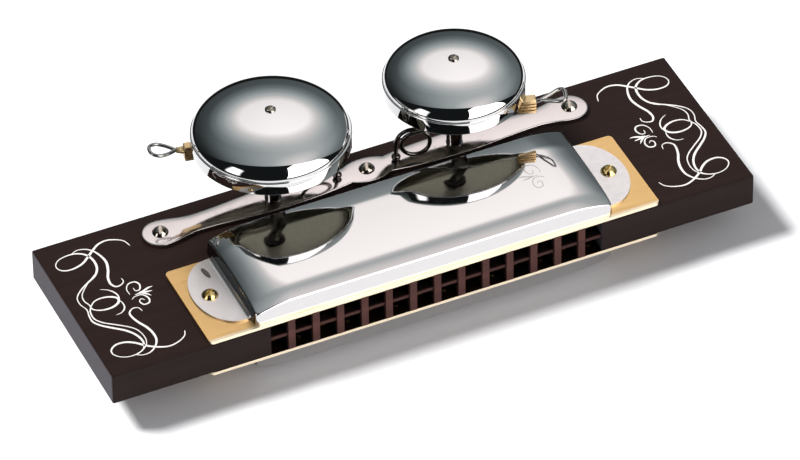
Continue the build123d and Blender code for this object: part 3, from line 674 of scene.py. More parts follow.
def stained_wood(name, light, dark, roughness, end_grain_sheen=None):
    """Colour follows 0.65 grain + 0.35 pores; faces that look along x get a painted sheen."""
    tree, shader, coords = new_finish(name, dark, 0.0, roughness, Specular_IOR_Level=WOOD_GLOSS)
    grain = speckle(tree, stretched(tree, coords, GRAIN), 1.0, *GRAIN_DETAIL)
    pores = speckle(tree, stretched(tree, coords, PORES), 1.0, *PORE_DETAIL)
    both = op(tree, "MULTIPLY_ADD", pores, PORE_SHARE, op(tree, "MULTIPLY", grain, 1 - PORE_SHARE))
    colour = ramp(tree, both, list(zip(WOOD_TONES, (dark, light))))
    if end_grain_sheen:
        normal = tree.nodes.new("ShaderNodeNewGeometry").outputs["Normal"]
        sideways = op(tree, "ABSOLUTE", facing(tree, normal, (1, 0, 0)))
        darker = [c * END_SHEEN_DARKEST for c in end_grain_sheen]
        ends = ramp(tree, pores, list(zip(PORE_RANGE, (darker, end_grain_sheen))))
        colour = blended(tree, between(tree, sideways, *END_SHEEN_FROM), colour, ends)
    tree.links.new(colour, shader.inputs["Base Color"])
    haze = between(tree, pores, *PORE_RANGE, roughness - SMOOTHER, roughness + ROUGHER)
    tree.links.new(haze, shader.inputs["Roughness"])
    raised(tree, shader, both, WOOD_RELIEF, WOOD_BUMP)


# the last colour is the painted sheen on the comb's end faces
stained_wood("dark_wood", (0.0165, 0.0090, 0.0075), (0.0110, 0.0062, 0.0053), 0.55,
             (0.062, 0.055, 0.064))
stained_wood("comb_wood", (0.085, 0.036, 0.030), (0.042, 0.018, 0.016), 0.6)
print("two woods")

# %% [markdown]
# ### The dark inside of the chambers
# Light hardly reaches the chambers, so their shade is painted into the walls' colour. Shadows alone
# would darken them too, but not as evenly. So the depth behind the comb's front edge decides: the
# walls' own colour at the mouth, painted shade near black a millimetre and a half in.

# %% Chamber depths
MOUTH_FROM, MOUTH_TO = 0.15, 1.6
# painted shade: near black deep inside the chambers
CHAMBER_PAINTED_SHADE = (0.004, 0.0025, 0.002)

tree = FINISH["comb_wood"].node_tree
base = tree.nodes["Principled BSDF"].inputs["Base Color"]
inside = between(tree, object_axes(tree)["Y"], (comb_low[1] + MOUTH_FROM) * MM,
                 (comb_low[1] + MOUTH_TO) * MM)
tree.links.new(blended(tree, inside, base.links[0].from_socket, CHAMBER_PAINTED_SHADE), base)
print("chambers are black from", MOUTH_TO, "mm in")

# %% [markdown]
# ### White ink
# The ink on the comb's ends has worn to a broken, uneven white. Fine noise mixes a fresh
# and a worn white, and the same noise lifts the fresh ink a little, as a bump.

# %% White ink
INK_COLOUR, INK_WORN, INK_FRESH = (0.6, 0.58, 0.55), (0.44, 0.42, 0.40), (0.69, 0.665, 0.64)
INK_GRAINS, INK_DETAIL, INK_TONES = 1400, (5.0, 0.7), (0.30, 0.48)
INK_RELIEF, INK_BUMP = 1e-5, 0.3

tree, shader, coords = new_finish("white_ink", INK_COLOUR, 0.0, 0.5)
ink_wear_and_edge_highlight = speckle(tree, coords, INK_GRAINS, *INK_DETAIL)
tree.links.new(ramp(tree, ink_wear_and_edge_highlight, list(zip(INK_TONES, (INK_WORN, INK_FRESH)))),
               shader.inputs["Base Color"])
raised(tree, shader, ink_wear_and_edge_highlight, INK_RELIEF, INK_BUMP)
print(len(FINISH), "finishes in all")

# %% [markdown]
# ## Bells
# A bell is a thin spun shell, the same all round its post. Such a shape is a profile, a
# line of (distance from the axis, height) pairs, turned about an upright axis. Blender's
# Screw modifier does the same; worked out here, the rings are closed from the start.

# %% Turned shapes
def arc(centre, radii, start, end, steps):
    """Points of an ellipse's arc between two angles in degrees."""
    t = np.radians(np.linspace(start, end, steps + 1))
    return np.stack([centre[0] + radii[0] * np.cos(t), centre[1] + radii[1] * np.sin(t)], -1)


def turned(profile, x, y, turns=96, closed=False):
    """Each profile point (r, z) becomes a ring of radius r at height z about (x, y)."""
    angle = np.linspace(0, 2 * np.pi, turns, endpoint=False)
    r, z = profile[:, 0, None], profile[:, 1, None]
    points = np.stack([x + r * np.cos(angle), y + r * np.sin(angle), z + 0 * angle], -1)
    return surface(points, round_rows=closed, round_columns=True)


print("a quarter arc of radius 1 ends at", arc((0, 0), (1, 1), 0, 90, 4)[-1].round(3))

# %% [markdown]
# ### The bell's profile
# The profile runs once round the metal: over the dome, down the ledge and the skirt, round
# the rim and back up inside, so the shell closes on itself and has a real wall. A Solidify
# modifier could give a wall too, but not a rim that is rolled and a skirt that is straight
# on both sides.

# %% Bell profile
BELL_WALL, BELL_SKIRT, BELL_LEDGE, BELL_HOLE = 0.8, 4.2, 0.40, 1.0
LEDGE_ROUND, RIM_ROUND, INNER_LEDGE = 0.38, 0.38, 0.5
DOME_STEPS, LEDGE_STEPS, RIM_STEPS, BELL_TURNS = 48, 5, 8, 160


def bell_profile(radius, dome):
    """Dome, ledge, skirt and rolled rim outside, and the same lines a wall further in."""
    a, inner = radius - BELL_LEDGE, radius - BELL_WALL
    start = np.degrees(np.arccos(BELL_HOLE / a))
    top_in = BELL_SKIRT - BELL_WALL
    return np.vstack([
        arc((0, BELL_SKIRT), (a, dome), start, 0, DOME_STEPS),
        arc((radius - LEDGE_ROUND, BELL_SKIRT - LEDGE_ROUND), (LEDGE_ROUND,) * 2, 90, 0,
            LEDGE_STEPS),
        arc((radius - RIM_ROUND, RIM_ROUND), (RIM_ROUND,) * 2, 0, -180, RIM_STEPS),
        [[inner, top_in]],
        arc((0, top_in), (inner - INNER_LEDGE, dome), 0, start, DOME_STEPS)])


print("profile of a bell 20 mm in radius:", len(bell_profile(20.0, 7.0)), "points")

# %% [markdown]
# ### Two bells from one profile
# Both bells are the same shape in two sizes, so their radius and height are read from the
# solids' boxes. The inside was never polished. Faces within the wall that look down or
# towards the axis belong to it, and get a duller chrome.

# %% Bell shells
LOOKS_DOWN, LOOKS_IN, WALL_SLACK = -0.02, -0.5, 0.05


def inner_faces(bell, x, y, radius):
    """True for faces inside the wall that look down or towards the axis."""
    out = face_values(bell, "center")[:, :2] / MM - (x, y)
    normal = face_values(bell, "normal")
    inward = (normal[:, 2] < LOOKS_DOWN) | ((normal[:, :2] * out).sum(1) < LOOKS_IN)
    return inward & (np.hypot(*out.T) < radius - BELL_WALL + WALL_SLACK)


def make_bell(side):
    """A turned profile that fills the bell's box; gives back the bell's axis and top."""
    low, high = span(f"{side}_bell")
    radius, x, y = (high[0] - low[0]) / 2, (high[0] + low[0]) / 2, (high[1] + low[1]) / 2
    dome = high[2] - low[2] - BELL_SKIRT
    profile = bell_profile(radius, dome) + [0, low[2]]
    bell = make_piece(f"{side}_bell_shell", [turned(profile, x, y, BELL_TURNS, closed=True)],
                      "bell_chrome", "instrument", [f"{side}_bell"], crease=30)
    paint_faces(bell, inner_faces(bell, x, y, radius), "inner_chrome")
    print(f"{side} bell: radius {radius:.2f}, dome {dome:.2f}")
    return x, y, high[2]


BELLS = {side: make_bell(side) for side in ("left", "right")}

# %% [markdown]
# ### Posts
# Each bell stands on a plain pillar. At its foot the pillar is riveted over a small collar,
# and its corners are broken, as a lathe tool leaves them. It is a turned shape like the
# bell, with a profile of a few straight lines.

# %% Posts
POST_BREAK, POST_SUNK = 0.25, 0.3
FOOT_HEIGHT, FOOT_SPREAD = 0.35, 0.14

for side, (x, y, _) in BELLS.items():
    low, high = span(f"{side}_bell_post")
    r, bottom, top = (high[0] - low[0]) / 2, STRAP_TOP, high[2]
    # down in the strap, up the collar's side and over its slope, then the pillar
    profile = np.array([[0, bottom - POST_SUNK], [r + FOOT_SPREAD, bottom - POST_SUNK],
                        [r + FOOT_SPREAD, bottom + FOOT_HEIGHT * 0.6],
                        [r + FOOT_SPREAD * 0.5, bottom + FOOT_HEIGHT],
                        [r, bottom + FOOT_HEIGHT * 1.4],
                        [r, top - POST_BREAK], [r - POST_BREAK, top], [0, top]])
    make_piece(f"{side}_bell_pillar", [turned(profile, x, y, turns=40)], "post_steel",
               "instrument", [f"{side}_bell_post"])

# %% [markdown]
# ## Strap
# The strap is cut from flat nickelled sheet. Its outline waves: a middle lobe, two arms
# that swell and narrow, and a round end over each end screw. One could draw it as a curve
# by hand. Here the half width is a function of the distance from the middle, so both
# halves and both edges come out alike.

# %% Strap outline
STRAP_LENGTH_HALF = (strap_high[0] - strap_low[0]) / 2
STRAP_LOBE = 5.1
STRAP_SCREWS_AT = STRAP_LENGTH_HALF - STRAP_LOBE
CENTRE_LOBE = (8.1, 4.85)
WAIST, ARM_WIDE, NECK, NECK_AT = 2.9, 4.8, 3.4, STRAP_SCREWS_AT - 10.5
MIDDLE_WIDE, WAIST_SLOPE = WAIST - 0.8, 0.2


def hermite(x, knots, heights, slopes):
    """A smooth line through knots: each stretch is the cubic with the given ends and slopes."""
    i = np.clip(np.searchsorted(knots, x) - 1, 0, len(knots) - 2)
    h = knots[i + 1] - knots[i]
    t = np.clip((x - knots[i]) / h, 0, 1)
    return ((1 + 2 * t) * (1 - t) ** 2 * heights[i] + t * (1 - t) ** 2 * h * slopes[i]
            + t ** 2 * (3 - 2 * t) * heights[i + 1] + t ** 2 * (t - 1) * h * slopes[i + 1])


def strap_half_width(x):
    """The largest of three shapes: the waved arm, the middle ellipse and the round end."""
    a = np.abs(x)
    start = CENTRE_LOBE[0] / 2
    knots = np.array([0.0, start, (start + NECK_AT) / 2, NECK_AT, STRAP_SCREWS_AT])
    heights = np.array([MIDDLE_WIDE, WAIST, ARM_WIDE, NECK, STRAP_LOBE])
    arm = hermite(a, knots, heights, np.array([WAIST_SLOPE, WAIST_SLOPE, 0.0, 0.0, 0.0]))
    arm = np.where(a < STRAP_SCREWS_AT, arm, 0)
    middle = CENTRE_LOBE[1] * np.sqrt(np.maximum(1 - (a / CENTRE_LOBE[0]) ** 2, 0))
    end = np.sqrt(np.maximum(STRAP_LOBE ** 2 - (a - STRAP_SCREWS_AT) ** 2, 0))
    end = np.where(a >= STRAP_SCREWS_AT, end, 0)
    return np.max([arm, middle, end], axis=0)


print("strap half width at the neck", strap_half_width(np.array([NECK_AT])).round(2))

# %% [markdown]
# ### The strap as one long grid
# Punching and polishing leave the top slightly crowned and the edge rounded over. Each
# place along the strap gets a ring: across the top, down one side, back under and up the
# other. The places crowd together at the round ends, where the outline turns fastest.

# %% Strap plate
STRAP_CROWN, EDGE_DROP, EDGE_POWER = 0.30, 0.10, 40
RIM_STEP, BACK_BREAK, BACK_INSET = 0.06, 0.1, 0.985

lobe_x = STRAP_SCREWS_AT + STRAP_LOBE * np.sin(np.linspace(0, np.pi / 2, 25))
arms_x = np.linspace(-STRAP_SCREWS_AT, STRAP_SCREWS_AT, 241)[1:-1]
along = np.concatenate([-lobe_x[::-1], arms_x, lobe_x])
half_width = strap_half_width(along)
half_width[[0, -1]] = 0


def strap_rings():
    """Height = top - crown r^2 - edge r^40, then the straight sides and the flat back. Along
    the arms r is the share v of the half width; past the end screws it is the share of the
    round end's radius, so that the rim stays level."""
    v = np.sin(np.linspace(-np.pi / 2, np.pi / 2, 37))
    past = np.maximum(np.abs(along) - STRAP_SCREWS_AT, 0)[:, None]
    r = np.where(past > 0, np.hypot(past, half_width[:, None] * v) / STRAP_LOBE, np.abs(v)[None])
    top = strap_high[2] - STRAP_CROWN * r ** 2 - EDGE_DROP * r ** EDGE_POWER
    rim = strap_high[2] - STRAP_CROWN - EDGE_DROP
    v = np.concatenate([v, [1.0, 1.0, BACK_INSET, 0, -BACK_INSET, -1.0, -1.0]])
    low = strap_low[2]
    side = np.array([rim - RIM_STEP, low + BACK_BREAK, low, low, low, low + BACK_BREAK,
                     rim - RIM_STEP])
    z = np.hstack([top, np.repeat(side[None], len(along), 0)])
    x = np.repeat(along[:, None], len(v), 1)
    return np.stack([x, STRAP_Y + half_width[:, None] * v[None], z], -1)


make_piece("strap_plate", [surface(strap_rings(), round_columns=True)], "strap_nickel",
           "instrument", ["bell_strap"], crease=50)

# %% [markdown]
# ## Covers
# A cover is one thin sheet, pressed into a long tray. Seen from the side it rises upright at
# the front, bends sharply, climbs ever more slowly to its top and dips before its back edge.
# That line is easiest to draw by its slope: going along the sheet, the slope is given at a
# few places, the steps' sines and cosines are added up, and the line is scaled to end
# exactly on the solid's edges. The sheet itself is then a grid, one row per step of slope.

# %% The sheet's line from front to back
COVER_SHEET = 0.5
FRONT_EDGE, BACK_EDGE = cover_low[1], cover_high[1]
BASE_LEVEL, TOP_LEVEL = cover_low[2], cover_high[2]
BACK_DIP, LIP_DROP, LIP_ROUND, ARCH_TOP_Y = 1.3, 0.6, 0.3, 4.6
# millimetres along the sheet, and the slope there in degrees (90 is upright)
FRONT_SLOPES = [(0, 87), (5.2, 86), (5.5, 60), (5.8, 36), (7.0, 31), (8.6, 24), (10.6, 11),
                (13, 8.5), (16, 6), (19, 4), (22, 2.5), (26, 0)]
BACK_SLOPES = [(0, 0), (3.5, 0), (4.8, -4), (6.0, -9), (12.4, -11)]


def line_by_slope(slopes, start, end, steps):
    """Adds up (cos, sin) of a slope that changes evenly between the given places."""
    places, angle = np.array(slopes, float).T
    share = np.linspace(0, places[-1], steps + 1)
    turn = np.radians(np.interp((share[1:] + share[:-1]) / 2, places, angle))
    line = np.concatenate([[[0, 0]], np.cumsum(np.stack([np.cos(turn), np.sin(turn)], -1), 0)])
    return start + line * (np.array(end, float) - start) / line[-1]


arch_top = (ARCH_TOP_Y, TOP_LEVEL)
back_end = (BACK_EDGE - LIP_ROUND, TOP_LEVEL - BACK_DIP)
front_line = line_by_slope(FRONT_SLOPES, (FRONT_EDGE, BASE_LEVEL), arch_top, 130)
back_line = line_by_slope(BACK_SLOPES, arch_top, back_end, 40)
lip = arc((back_end[0], back_end[1] - LIP_ROUND), (LIP_ROUND,) * 2, 90, 0, 5)[1:]
section = np.vstack([front_line, back_line[1:], lip, [[BACK_EDGE, back_end[1] - LIP_DROP]]])
print("section points", len(section), "highest", section[:, 1].max().round(2))

# %% [markdown]
# ### The sheet as a grid
# Seen from the front, the ends rise as steep walls, bend over sharply and climb slowly to
# the full height. So the tray is a product: at each point, the height of the side view
# times the share of full height that the front view gives. A box with bevelled edges would
# be quicker, but its top would be flat, and polished metal shows every flat as a patch.

# %% The tray
WALL_FOOT, PLAN_CORNER = 53.0, 1.6
END_SLOPES = [(0, 86), (4.4, 85), (4.9, 50), (5.4, 24), (8, 18), (12, 11), (15, 5), (17, 0)]
END_TOP_X, END_STEPS, MIDDLE_STEPS = 40.8, 56, 25


def cover_sheet():
    """Height is the section's height times the end's share of full height; the front corners
    are rounded by squeezing each corner square of the plan into a quarter disc."""
    tall = TOP_LEVEL - BASE_LEVEL
    end = line_by_slope(END_SLOPES, (WALL_FOOT, 0.0), (END_TOP_X, tall), END_STEPS) / [1, tall]
    middle_x = np.linspace(END_TOP_X, -END_TOP_X, MIDDLE_STEPS)[1:-1]
    middle = np.stack([middle_x, np.ones(len(middle_x))], -1)
    across = np.vstack([end, middle, (end * [-1, 1])[::-1]])
    x = np.repeat(across[None, :, 0], len(section), 0)
    y = np.repeat(section[:, 0, None], len(across), 1)
    z = BASE_LEVEL + (section[:, 1, None] - BASE_LEVEL) * across[None, :, 1]
    out = np.clip((np.abs(x) - (WALL_FOOT - PLAN_CORNER)) / PLAN_CORNER, 0, 1)
    inner = FRONT_EDGE + PLAN_CORNER
    far = np.clip((inner - y) / PLAN_CORNER, 0, 1)
    both = (out > 0) & (far > 0)
    new_x = WALL_FOOT - PLAN_CORNER + PLAN_CORNER * out * np.sqrt(1 - far ** 2 / 2)
    new_y = inner - PLAN_CORNER * far * np.sqrt(1 - out ** 2 / 2)
    x, y = np.where(both, np.sign(x) * new_x, x), np.where(both, new_y, y)
    return np.stack([x, y, z], -1)


tray = cover_sheet()
print("tray grid", tray.shape[:2])

# %% [markdown]
# ### Ears
# At each end the sheet turns outwards in a small bend and becomes a flat half-round ear
# under the cover's screw. The flat part is an outline cut into triangles, because the left
# ear of the upper cover has a slot; the bend is a grid that shares the outline's points.

# %% Ear outline
EAR_TIP, EAR_HALF, EAR_Y = cover_high[0], 13.4, 1.0
BEND, BEND_FADE, WALL_SLOPE = 1.2, 4, np.radians(86)
SLOT_LENGTH, SLOT_WIDTH, SLOT_AT, SLOT_ANGLE = 4.6, 1.5, (-56.7, 9.3), 98.0


def filled(loops):
    """The space between an outline and the holes in it, cut into triangles: point i of a loop
    is joined to point i + 1, and Blender fills between the closed lines."""
    starts = np.cumsum([0] + [len(loop) for loop in loops])
    edges = [start + np.stack([np.arange(len(loop)), np.roll(np.arange(len(loop)), -1)], -1)
             for loop, start in zip(loops, starts)]
    sheet = bpy.data.meshes.new("flat_sheet")
    sheet.from_pydata(np.concatenate(loops).tolist(), np.concatenate(edges).tolist(), [])
    edit = bmesh.new()
    edit.from_mesh(sheet)
    bmesh.ops.triangle_fill(edit, use_beauty=True, edges=edit.edges)
    edit.to_mesh(sheet)
    edit.free()
    points, corners = np.zeros(len(sheet.vertices) * 3), np.zeros(len(sheet.loops), np.int32)
    sheet.vertices.foreach_get("co", points)
    sheet.loops.foreach_get("vertex_index", corners)
    bpy.data.meshes.remove(sheet)
    return points.reshape(-1, 3), corners.reshape(-1, 3)


def slot_oval():
    """An ellipse of the slot's length and width, turned by its angle."""
    t = np.linspace(0, 2 * np.pi, 32, endpoint=False)
    a = np.radians(SLOT_ANGLE)
    oval = np.stack([np.cos(t) * SLOT_LENGTH, np.sin(t) * SLOT_WIDTH], -1) / 2
    return oval @ np.array([[np.cos(a), np.sin(a)], [-np.sin(a), np.cos(a)]]) + SLOT_AT


print("slot", SLOT_LENGTH, "by", SLOT_WIDTH, "mm")

# %% [markdown]
# The bend turns the sheet from the wall's steep slope down to level. It has its full
# radius along most of the ear and shrinks to nothing at the ear's two corners, where the
# bow of the outline ends.

# %% Ear surfaces
EAR_STEPS, BEND_STEPS = 49, 9


def ear_sheet(side, slotted):
    """Flat half ellipse from the end of the bend outwards, and the bend up to the end wall."""
    level = BASE_LEVEL + COVER_SHEET
    y = EAR_Y + EAR_HALF * np.sin(np.linspace(-np.pi / 2, np.pi / 2, EAR_STEPS))
    bow = np.sqrt(np.maximum(1 - ((y - EAR_Y) / EAR_HALF) ** 2, 0))
    radius = np.minimum(BEND, BEND_FADE * bow)
    lean = 1 / np.tan(WALL_SLOPE)
    foot = (WALL_FOOT - COVER_SHEET * lean
            + radius * (np.sin(WALL_SLOPE) - (1 - np.cos(WALL_SLOPE)) * lean))
    edge_x = foot + (EAR_TIP - foot.max()) * bow
    turn = np.linspace(WALL_SLOPE, 0, BEND_STEPS)[:, None]
    x, z = foot - radius * np.sin(turn), level + radius * (1 - np.cos(turn))
    bend = np.stack([side * x, np.repeat(y[None], BEND_STEPS, 0), z], -1)
    root = bend[-1][1:-1, :2]
    edge = np.stack([side * edge_x, y], -1)[1:-1]
    outline = np.concatenate([root, edge[::-1]])
    loops = [np.column_stack([outline, np.full(len(outline), level)])]
    if slotted:
        oval = slot_oval()
        loops.append(np.column_stack([oval, np.full(len(oval), level)])[::-1])
    return [surface(bend), filled(loops)]


print("ears reach", EAR_TIP.round(2), "mm from the middle")

# %% [markdown]
# ### Sheets with a thickness
# Tray and ears are first made as sheets without a thickness. A Solidify modifier then adds
# half a millimetre on the inner side, so it matters that all faces look outwards, and a
# Bevel softens the cut edges. The lower cover is the upper one, mirrored.

# %% Cover sheets
EDGE_SOFTNESS, EDGE_ANGLE = 0.08, 60
WALL_BAND = 0.40


def flipped(points):
    """The lower row's copy of a shape, mirrored about the comb's middle plane."""
    return points * [1, 1, -1] + [0, 0, 2 * COMB_MIDDLE]


def sheet_piece(name, shells, node, upwards, finish):
    """An open sheet whose faces all look outwards, given the sheet's thickness inwards."""
    piece = make_piece(name, shells, finish, None, crease=EDGE_ANGLE)
    areas = np.zeros(len(piece.data.polygons))
    piece.data.polygons.foreach_get("area", areas)
    if (face_values(piece, "normal")[:, 2] * areas).sum() * upwards < 0:
        piece.data.flip_normals()
    wall = piece.modifiers.new("sheet", "SOLIDIFY")
    wall.thickness, wall.offset, wall.use_even_offset = COVER_SHEET * MM, -1.0, True
    soft = piece.modifiers.new("cut_edges", "BEVEL")
    soft.width, soft.segments, soft.harden_normals = EDGE_SOFTNESS * MM, 2, True
    soft.limit_method, soft.angle_limit = "ANGLE", np.radians(EDGE_ANGLE)
    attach(piece, "instrument")
    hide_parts(node)
    return piece


for row, upwards, place_it in (("upper", 1, lambda p: p), ("lower", -1, flipped)):
    node = f"{row}_cover"
    cover = sheet_piece(f"{row}_cover_tray", [surface(place_it(tray))], node, upwards,
                        "cover_chrome")
    # the end walls get painted shade, a darker copy of the cover's chrome
    painted_shade_walls = np.abs(face_values(cover, "center")[:, 0]) > (WALL_FOOT - WALL_BAND) * MM
    paint_faces(cover, painted_shade_walls, "wall_chrome_painted_shade")
    for side, word in ((-1, "left"), (1, "right")):
        shells = [(place_it(points), faces)
                  for points, faces in ear_sheet(side, side < 0 and row == "upper")]
        sheet_piece(f"{row}_cover_{word}_ear", shells, node, upwards, "ear_chrome")

# %% [markdown]
# ### Painted shade under the slot
# Through the slot one looks into a dark gap. A thin dark disc in the fibre finish lies on the plate
# there as painted shade, so that no pale brass shines up through the slot.

# %% Painted shade under the slot
SHADE_DISC_RADIUS, SHADE_DISC_THICK, SHADE_DISC_GAP = 2.2, 0.03, 0.02
# the disc is painted shade: a dark sheet where the gap is only in shadow
disc = np.array([[0, 0], [SHADE_DISC_RADIUS, 0], [SHADE_DISC_RADIUS, SHADE_DISC_THICK], [0, SHADE_DISC_THICK]])
disc = turned(disc + [0, PLATE_TOP + SHADE_DISC_GAP], *SLOT_AT, turns=32)
make_piece("ear_slot_painted_shade", [disc], "washer_fibre", "instrument")

# %% [markdown]
# ## Strikers
# Each striker is one spring wire. It stands up from a small bead on the strap, winds one
# and a quarter turns, runs out as a straight arm through the hammer and ends in a finger
# loop. First come the two tools for it: a smooth line through given points, and a wire
# along a line.

# %% Smooth lines
def smooth_line(points, steps=8, closed=False):
    """Between two points runs the cubic whose end slopes are half the way from the point before
    to the point after (Catmull-Rom)."""
    p = np.asarray(points, float)
    if closed:
        before, here, after, beyond = np.roll(p, 1, 0), p, np.roll(p, -1, 0), np.roll(p, -2, 0)
    else:
        wide = np.vstack([2 * p[0] - p[1], p, 2 * p[-1] - p[-2]])
        before, here, after, beyond = wide[:-3], wide[1:-2], wide[2:-1], wide[3:]
    b, h, a, c = (q[:, None, :] for q in (before, here, after, beyond))
    t = np.linspace(0, 1, steps, endpoint=False)[None, :, None]
    line = 0.5 * (2 * h + (a - b) * t + (2 * b - 5 * h + 4 * a - c) * t ** 2
                  + (3 * h - b - 3 * a + c) * t ** 3).reshape(-1, p.shape[1])
    return line if closed else np.vstack([line, p[-1:]])


print("smooth line through 3 points:", len(smooth_line([[0, 0], [1, 1], [2, 0]])), "points")

# %% [markdown]
# Wire is a circle carried along a path, so every part of a striker is the same `tube`. A curve
# object with a round bevel would look the same. A mesh of our own has its rings where we put them,
# close together in the coil.

# %% Wire along a path
def tube(path, radius, across, sides=14, closed=False):
    """Ring i is path i + radius (cos t side + sin t other), both square to the path."""
    step = np.roll(path, -1, 0) - np.roll(path, 1, 0)
    radius = np.broadcast_to(np.asarray(radius, float), len(path))
    if not closed:
        step[0], step[-1] = path[1] - path[0], path[-1] - path[-2]
        path, step = (np.vstack([q[:1], q, q[-1:]]) for q in (path, step))
        radius = np.concatenate([[0], radius, [0]])
    other = np.cross(step, across)
    other /= np.linalg.norm(other, axis=1, keepdims=True)
    side = np.cross(other, step)
    side /= np.linalg.norm(side, axis=1, keepdims=True)
    t = np.linspace(0, 2 * np.pi, sides, endpoint=False)[None, :, None]
    rings = np.cos(t) * side[:, None] + np.sin(t) * other[:, None]
    return surface(path[:, None] + radius[:, None, None] * rings, closed, True)


straight = np.array([[0.0, 0, 0], [1, 0, 0]])
print("the shortest wire has", len(tube(straight, 0.5, UP)[1]), "faces")

# %% [markdown]
# ### Where a striker stands
# A striker is easiest to draw in its own directions: out along the arm, to the arm's left,
# and up. They follow from two places that the solids give, the bead on the strap and the
# middle of the hammer. The arm leaves the coil as a tangent, so its slope is the slope of
# the line from the coil's middle to the hammer, less the angle that the coil's radius
# takes up at that distance.

# %% Where a striker stands
WIRE, COIL_RADIUS, COIL_LEAD, COIL_ADVANCE, COIL_HEIGHT = 1.05, 4.0, 1.3, 1.44, 6.0
ANCHOR_X, HAMMER_LONG = 8.8, 5.2
NECKS = {"left": 2.2, "right": 1.2}


class Striker:
    """Directions and slope of one striker, worked out from its anchor and its hammer's box."""

    def __init__(self, side):
        """Heading = direction to the hammer, turned by what the coil's advance takes up."""
        low, high = span(f"{side}_hammer")
        hammer = (low + high) / 2
        self.neck = NECKS[side]
        self.anchor = np.array([-ANCHOR_X if side == "left" else ANCHOR_X, STRAP_Y])
        reach = hammer[:2] - self.anchor
        length = np.hypot(*reach)
        heading = np.arctan2(reach[1], reach[0]) + np.arcsin(COIL_ADVANCE / length)
        self.out = np.array([np.cos(heading), np.sin(heading), 0])
        self.left = np.array([-np.sin(heading), np.cos(heading), 0])
        self.level = STRAP_TOP + COIL_HEIGHT
        self.hammer_out = np.sqrt(length ** 2 - COIL_ADVANCE ** 2)
        self.rise = hammer[2] - self.level
        self.middle = COIL_LEAD + COIL_RADIUS
        run = self.hammer_out - self.middle
        self.slope = (np.arctan2(self.rise, run)
                      - np.arcsin(COIL_RADIUS / np.hypot(self.rise, run)))

    def put(self, points):
        """(out, left, up from the coil's middle) to millimetres in the frame."""
        p = np.asarray(points, float)
        base = np.array([*self.anchor, self.level])
        return base + p[..., :1] * self.out + p[..., 1:2] * self.left + p[..., 2:] * UP

    def on_arm(self, points):
        """(along the arm from the hammer, to its left, square above it) to millimetres."""
        p = np.asarray(points, float)
        c, s = np.cos(self.slope), np.sin(self.slope)
        return self.put(np.stack([self.hammer_out + p[..., 0] * c - p[..., 2] * s,
                                  p[..., 1] - COIL_ADVANCE,
                                  self.rise + p[..., 0] * s + p[..., 2] * c], -1))


STRIKERS = {side: Striker(side) for side in NECKS}
for side, s in STRIKERS.items():
    print(side, "arm slope", round(float(np.degrees(s.slope)), 2), "degrees")

# %% [markdown]
# ### Stems, coils and beads
# The stem stands still and the arm moves, so the real wire between them has to give; here the stem
# and the coil are built as one wire in a single shape.

# %% Stems, coils and beads
COIL_STEPS, STEM_STEPS, LEAD_FADE = 97, 14, 2.2
SPRING_EXTRA, STEM_SUNK = 0.06, 0.3
BLEND_FROM, BLEND_TO = -0.25, -1.2
BEAD_RADIUS, BEAD_TALL, BEAD_MIDDLE, BEAD_SUNK = 1.3, 1.05, 1.0, 0.05

beads = []
for side, s in STRIKERS.items():
    turn = 450 - np.degrees(s.slope)
    share = np.linspace(0, 1, COIL_STEPS)
    angle = np.radians(180 - turn * share)
    reach = COIL_RADIUS + COIL_LEAD * np.clip(1 - share * LEAD_FADE, 0, 1) ** 2
    coil = np.stack([s.middle + reach * np.cos(angle), -COIL_ADVANCE * share,
                     reach * np.sin(angle)], -1)
    coil[-1] = coil[-2] + (coil[-2] - coil[-3])
    stem = np.zeros((STEM_STEPS, 3))
    stem[:, 2] = np.linspace(STRAP_TOP + STEM_SUNK - s.level, -STEM_SUNK, STEM_STEPS)
    wire = tube(s.put(np.vstack([stem, coil])), WIRE / 2 + SPRING_EXTRA, s.left)
    spring = make_piece(f"{side}_spring_wire", [wire], "spring_steel", None,
                        [f"{side}_striker_spring"])
    start, end = (tuple(s.put([s.middle, left, 0]) * MM) for left in (BLEND_FROM, BLEND_TO))
    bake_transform(spring)
    ball = arc((0, STRAP_TOP + BEAD_MIDDLE), (BEAD_RADIUS, BEAD_TALL), -90, 90, 16)
    ball[0] = (0, STRAP_TOP - BEAD_SUNK)
    beads.append(turned(ball, *s.anchor, turns=28))
make_piece("wire_beads", beads, "spring_steel", "instrument",
           ["striker_anchors"])

# %% [markdown]
# ### Arms and finger loops
# The arm is a straight wire. The loop could be bent from arcs and straights, but hand-bent
# wire has neither. So it is a closed smooth line through a few points of half of its
# outline and their mirror, which keeps it even about the arm: the left one is a rounded
# drop, the right one a rounded triangle.

# %% Arms and loops
HALF_LOOPS = {"left": [(1.2, 0.85), (2.9, 1.85), (4.9, 2.45), (6.6, 1.95), (7.35, 0.8)],
              "right": [(1.6, 0.75), (3.6, 1.65), (5.5, 2.5), (6.75, 2.2), (7.15, 1.0)]}
LOOP_START, ARM_OVERLAP, ARM_STEPS = 0.25, 0.8, 30

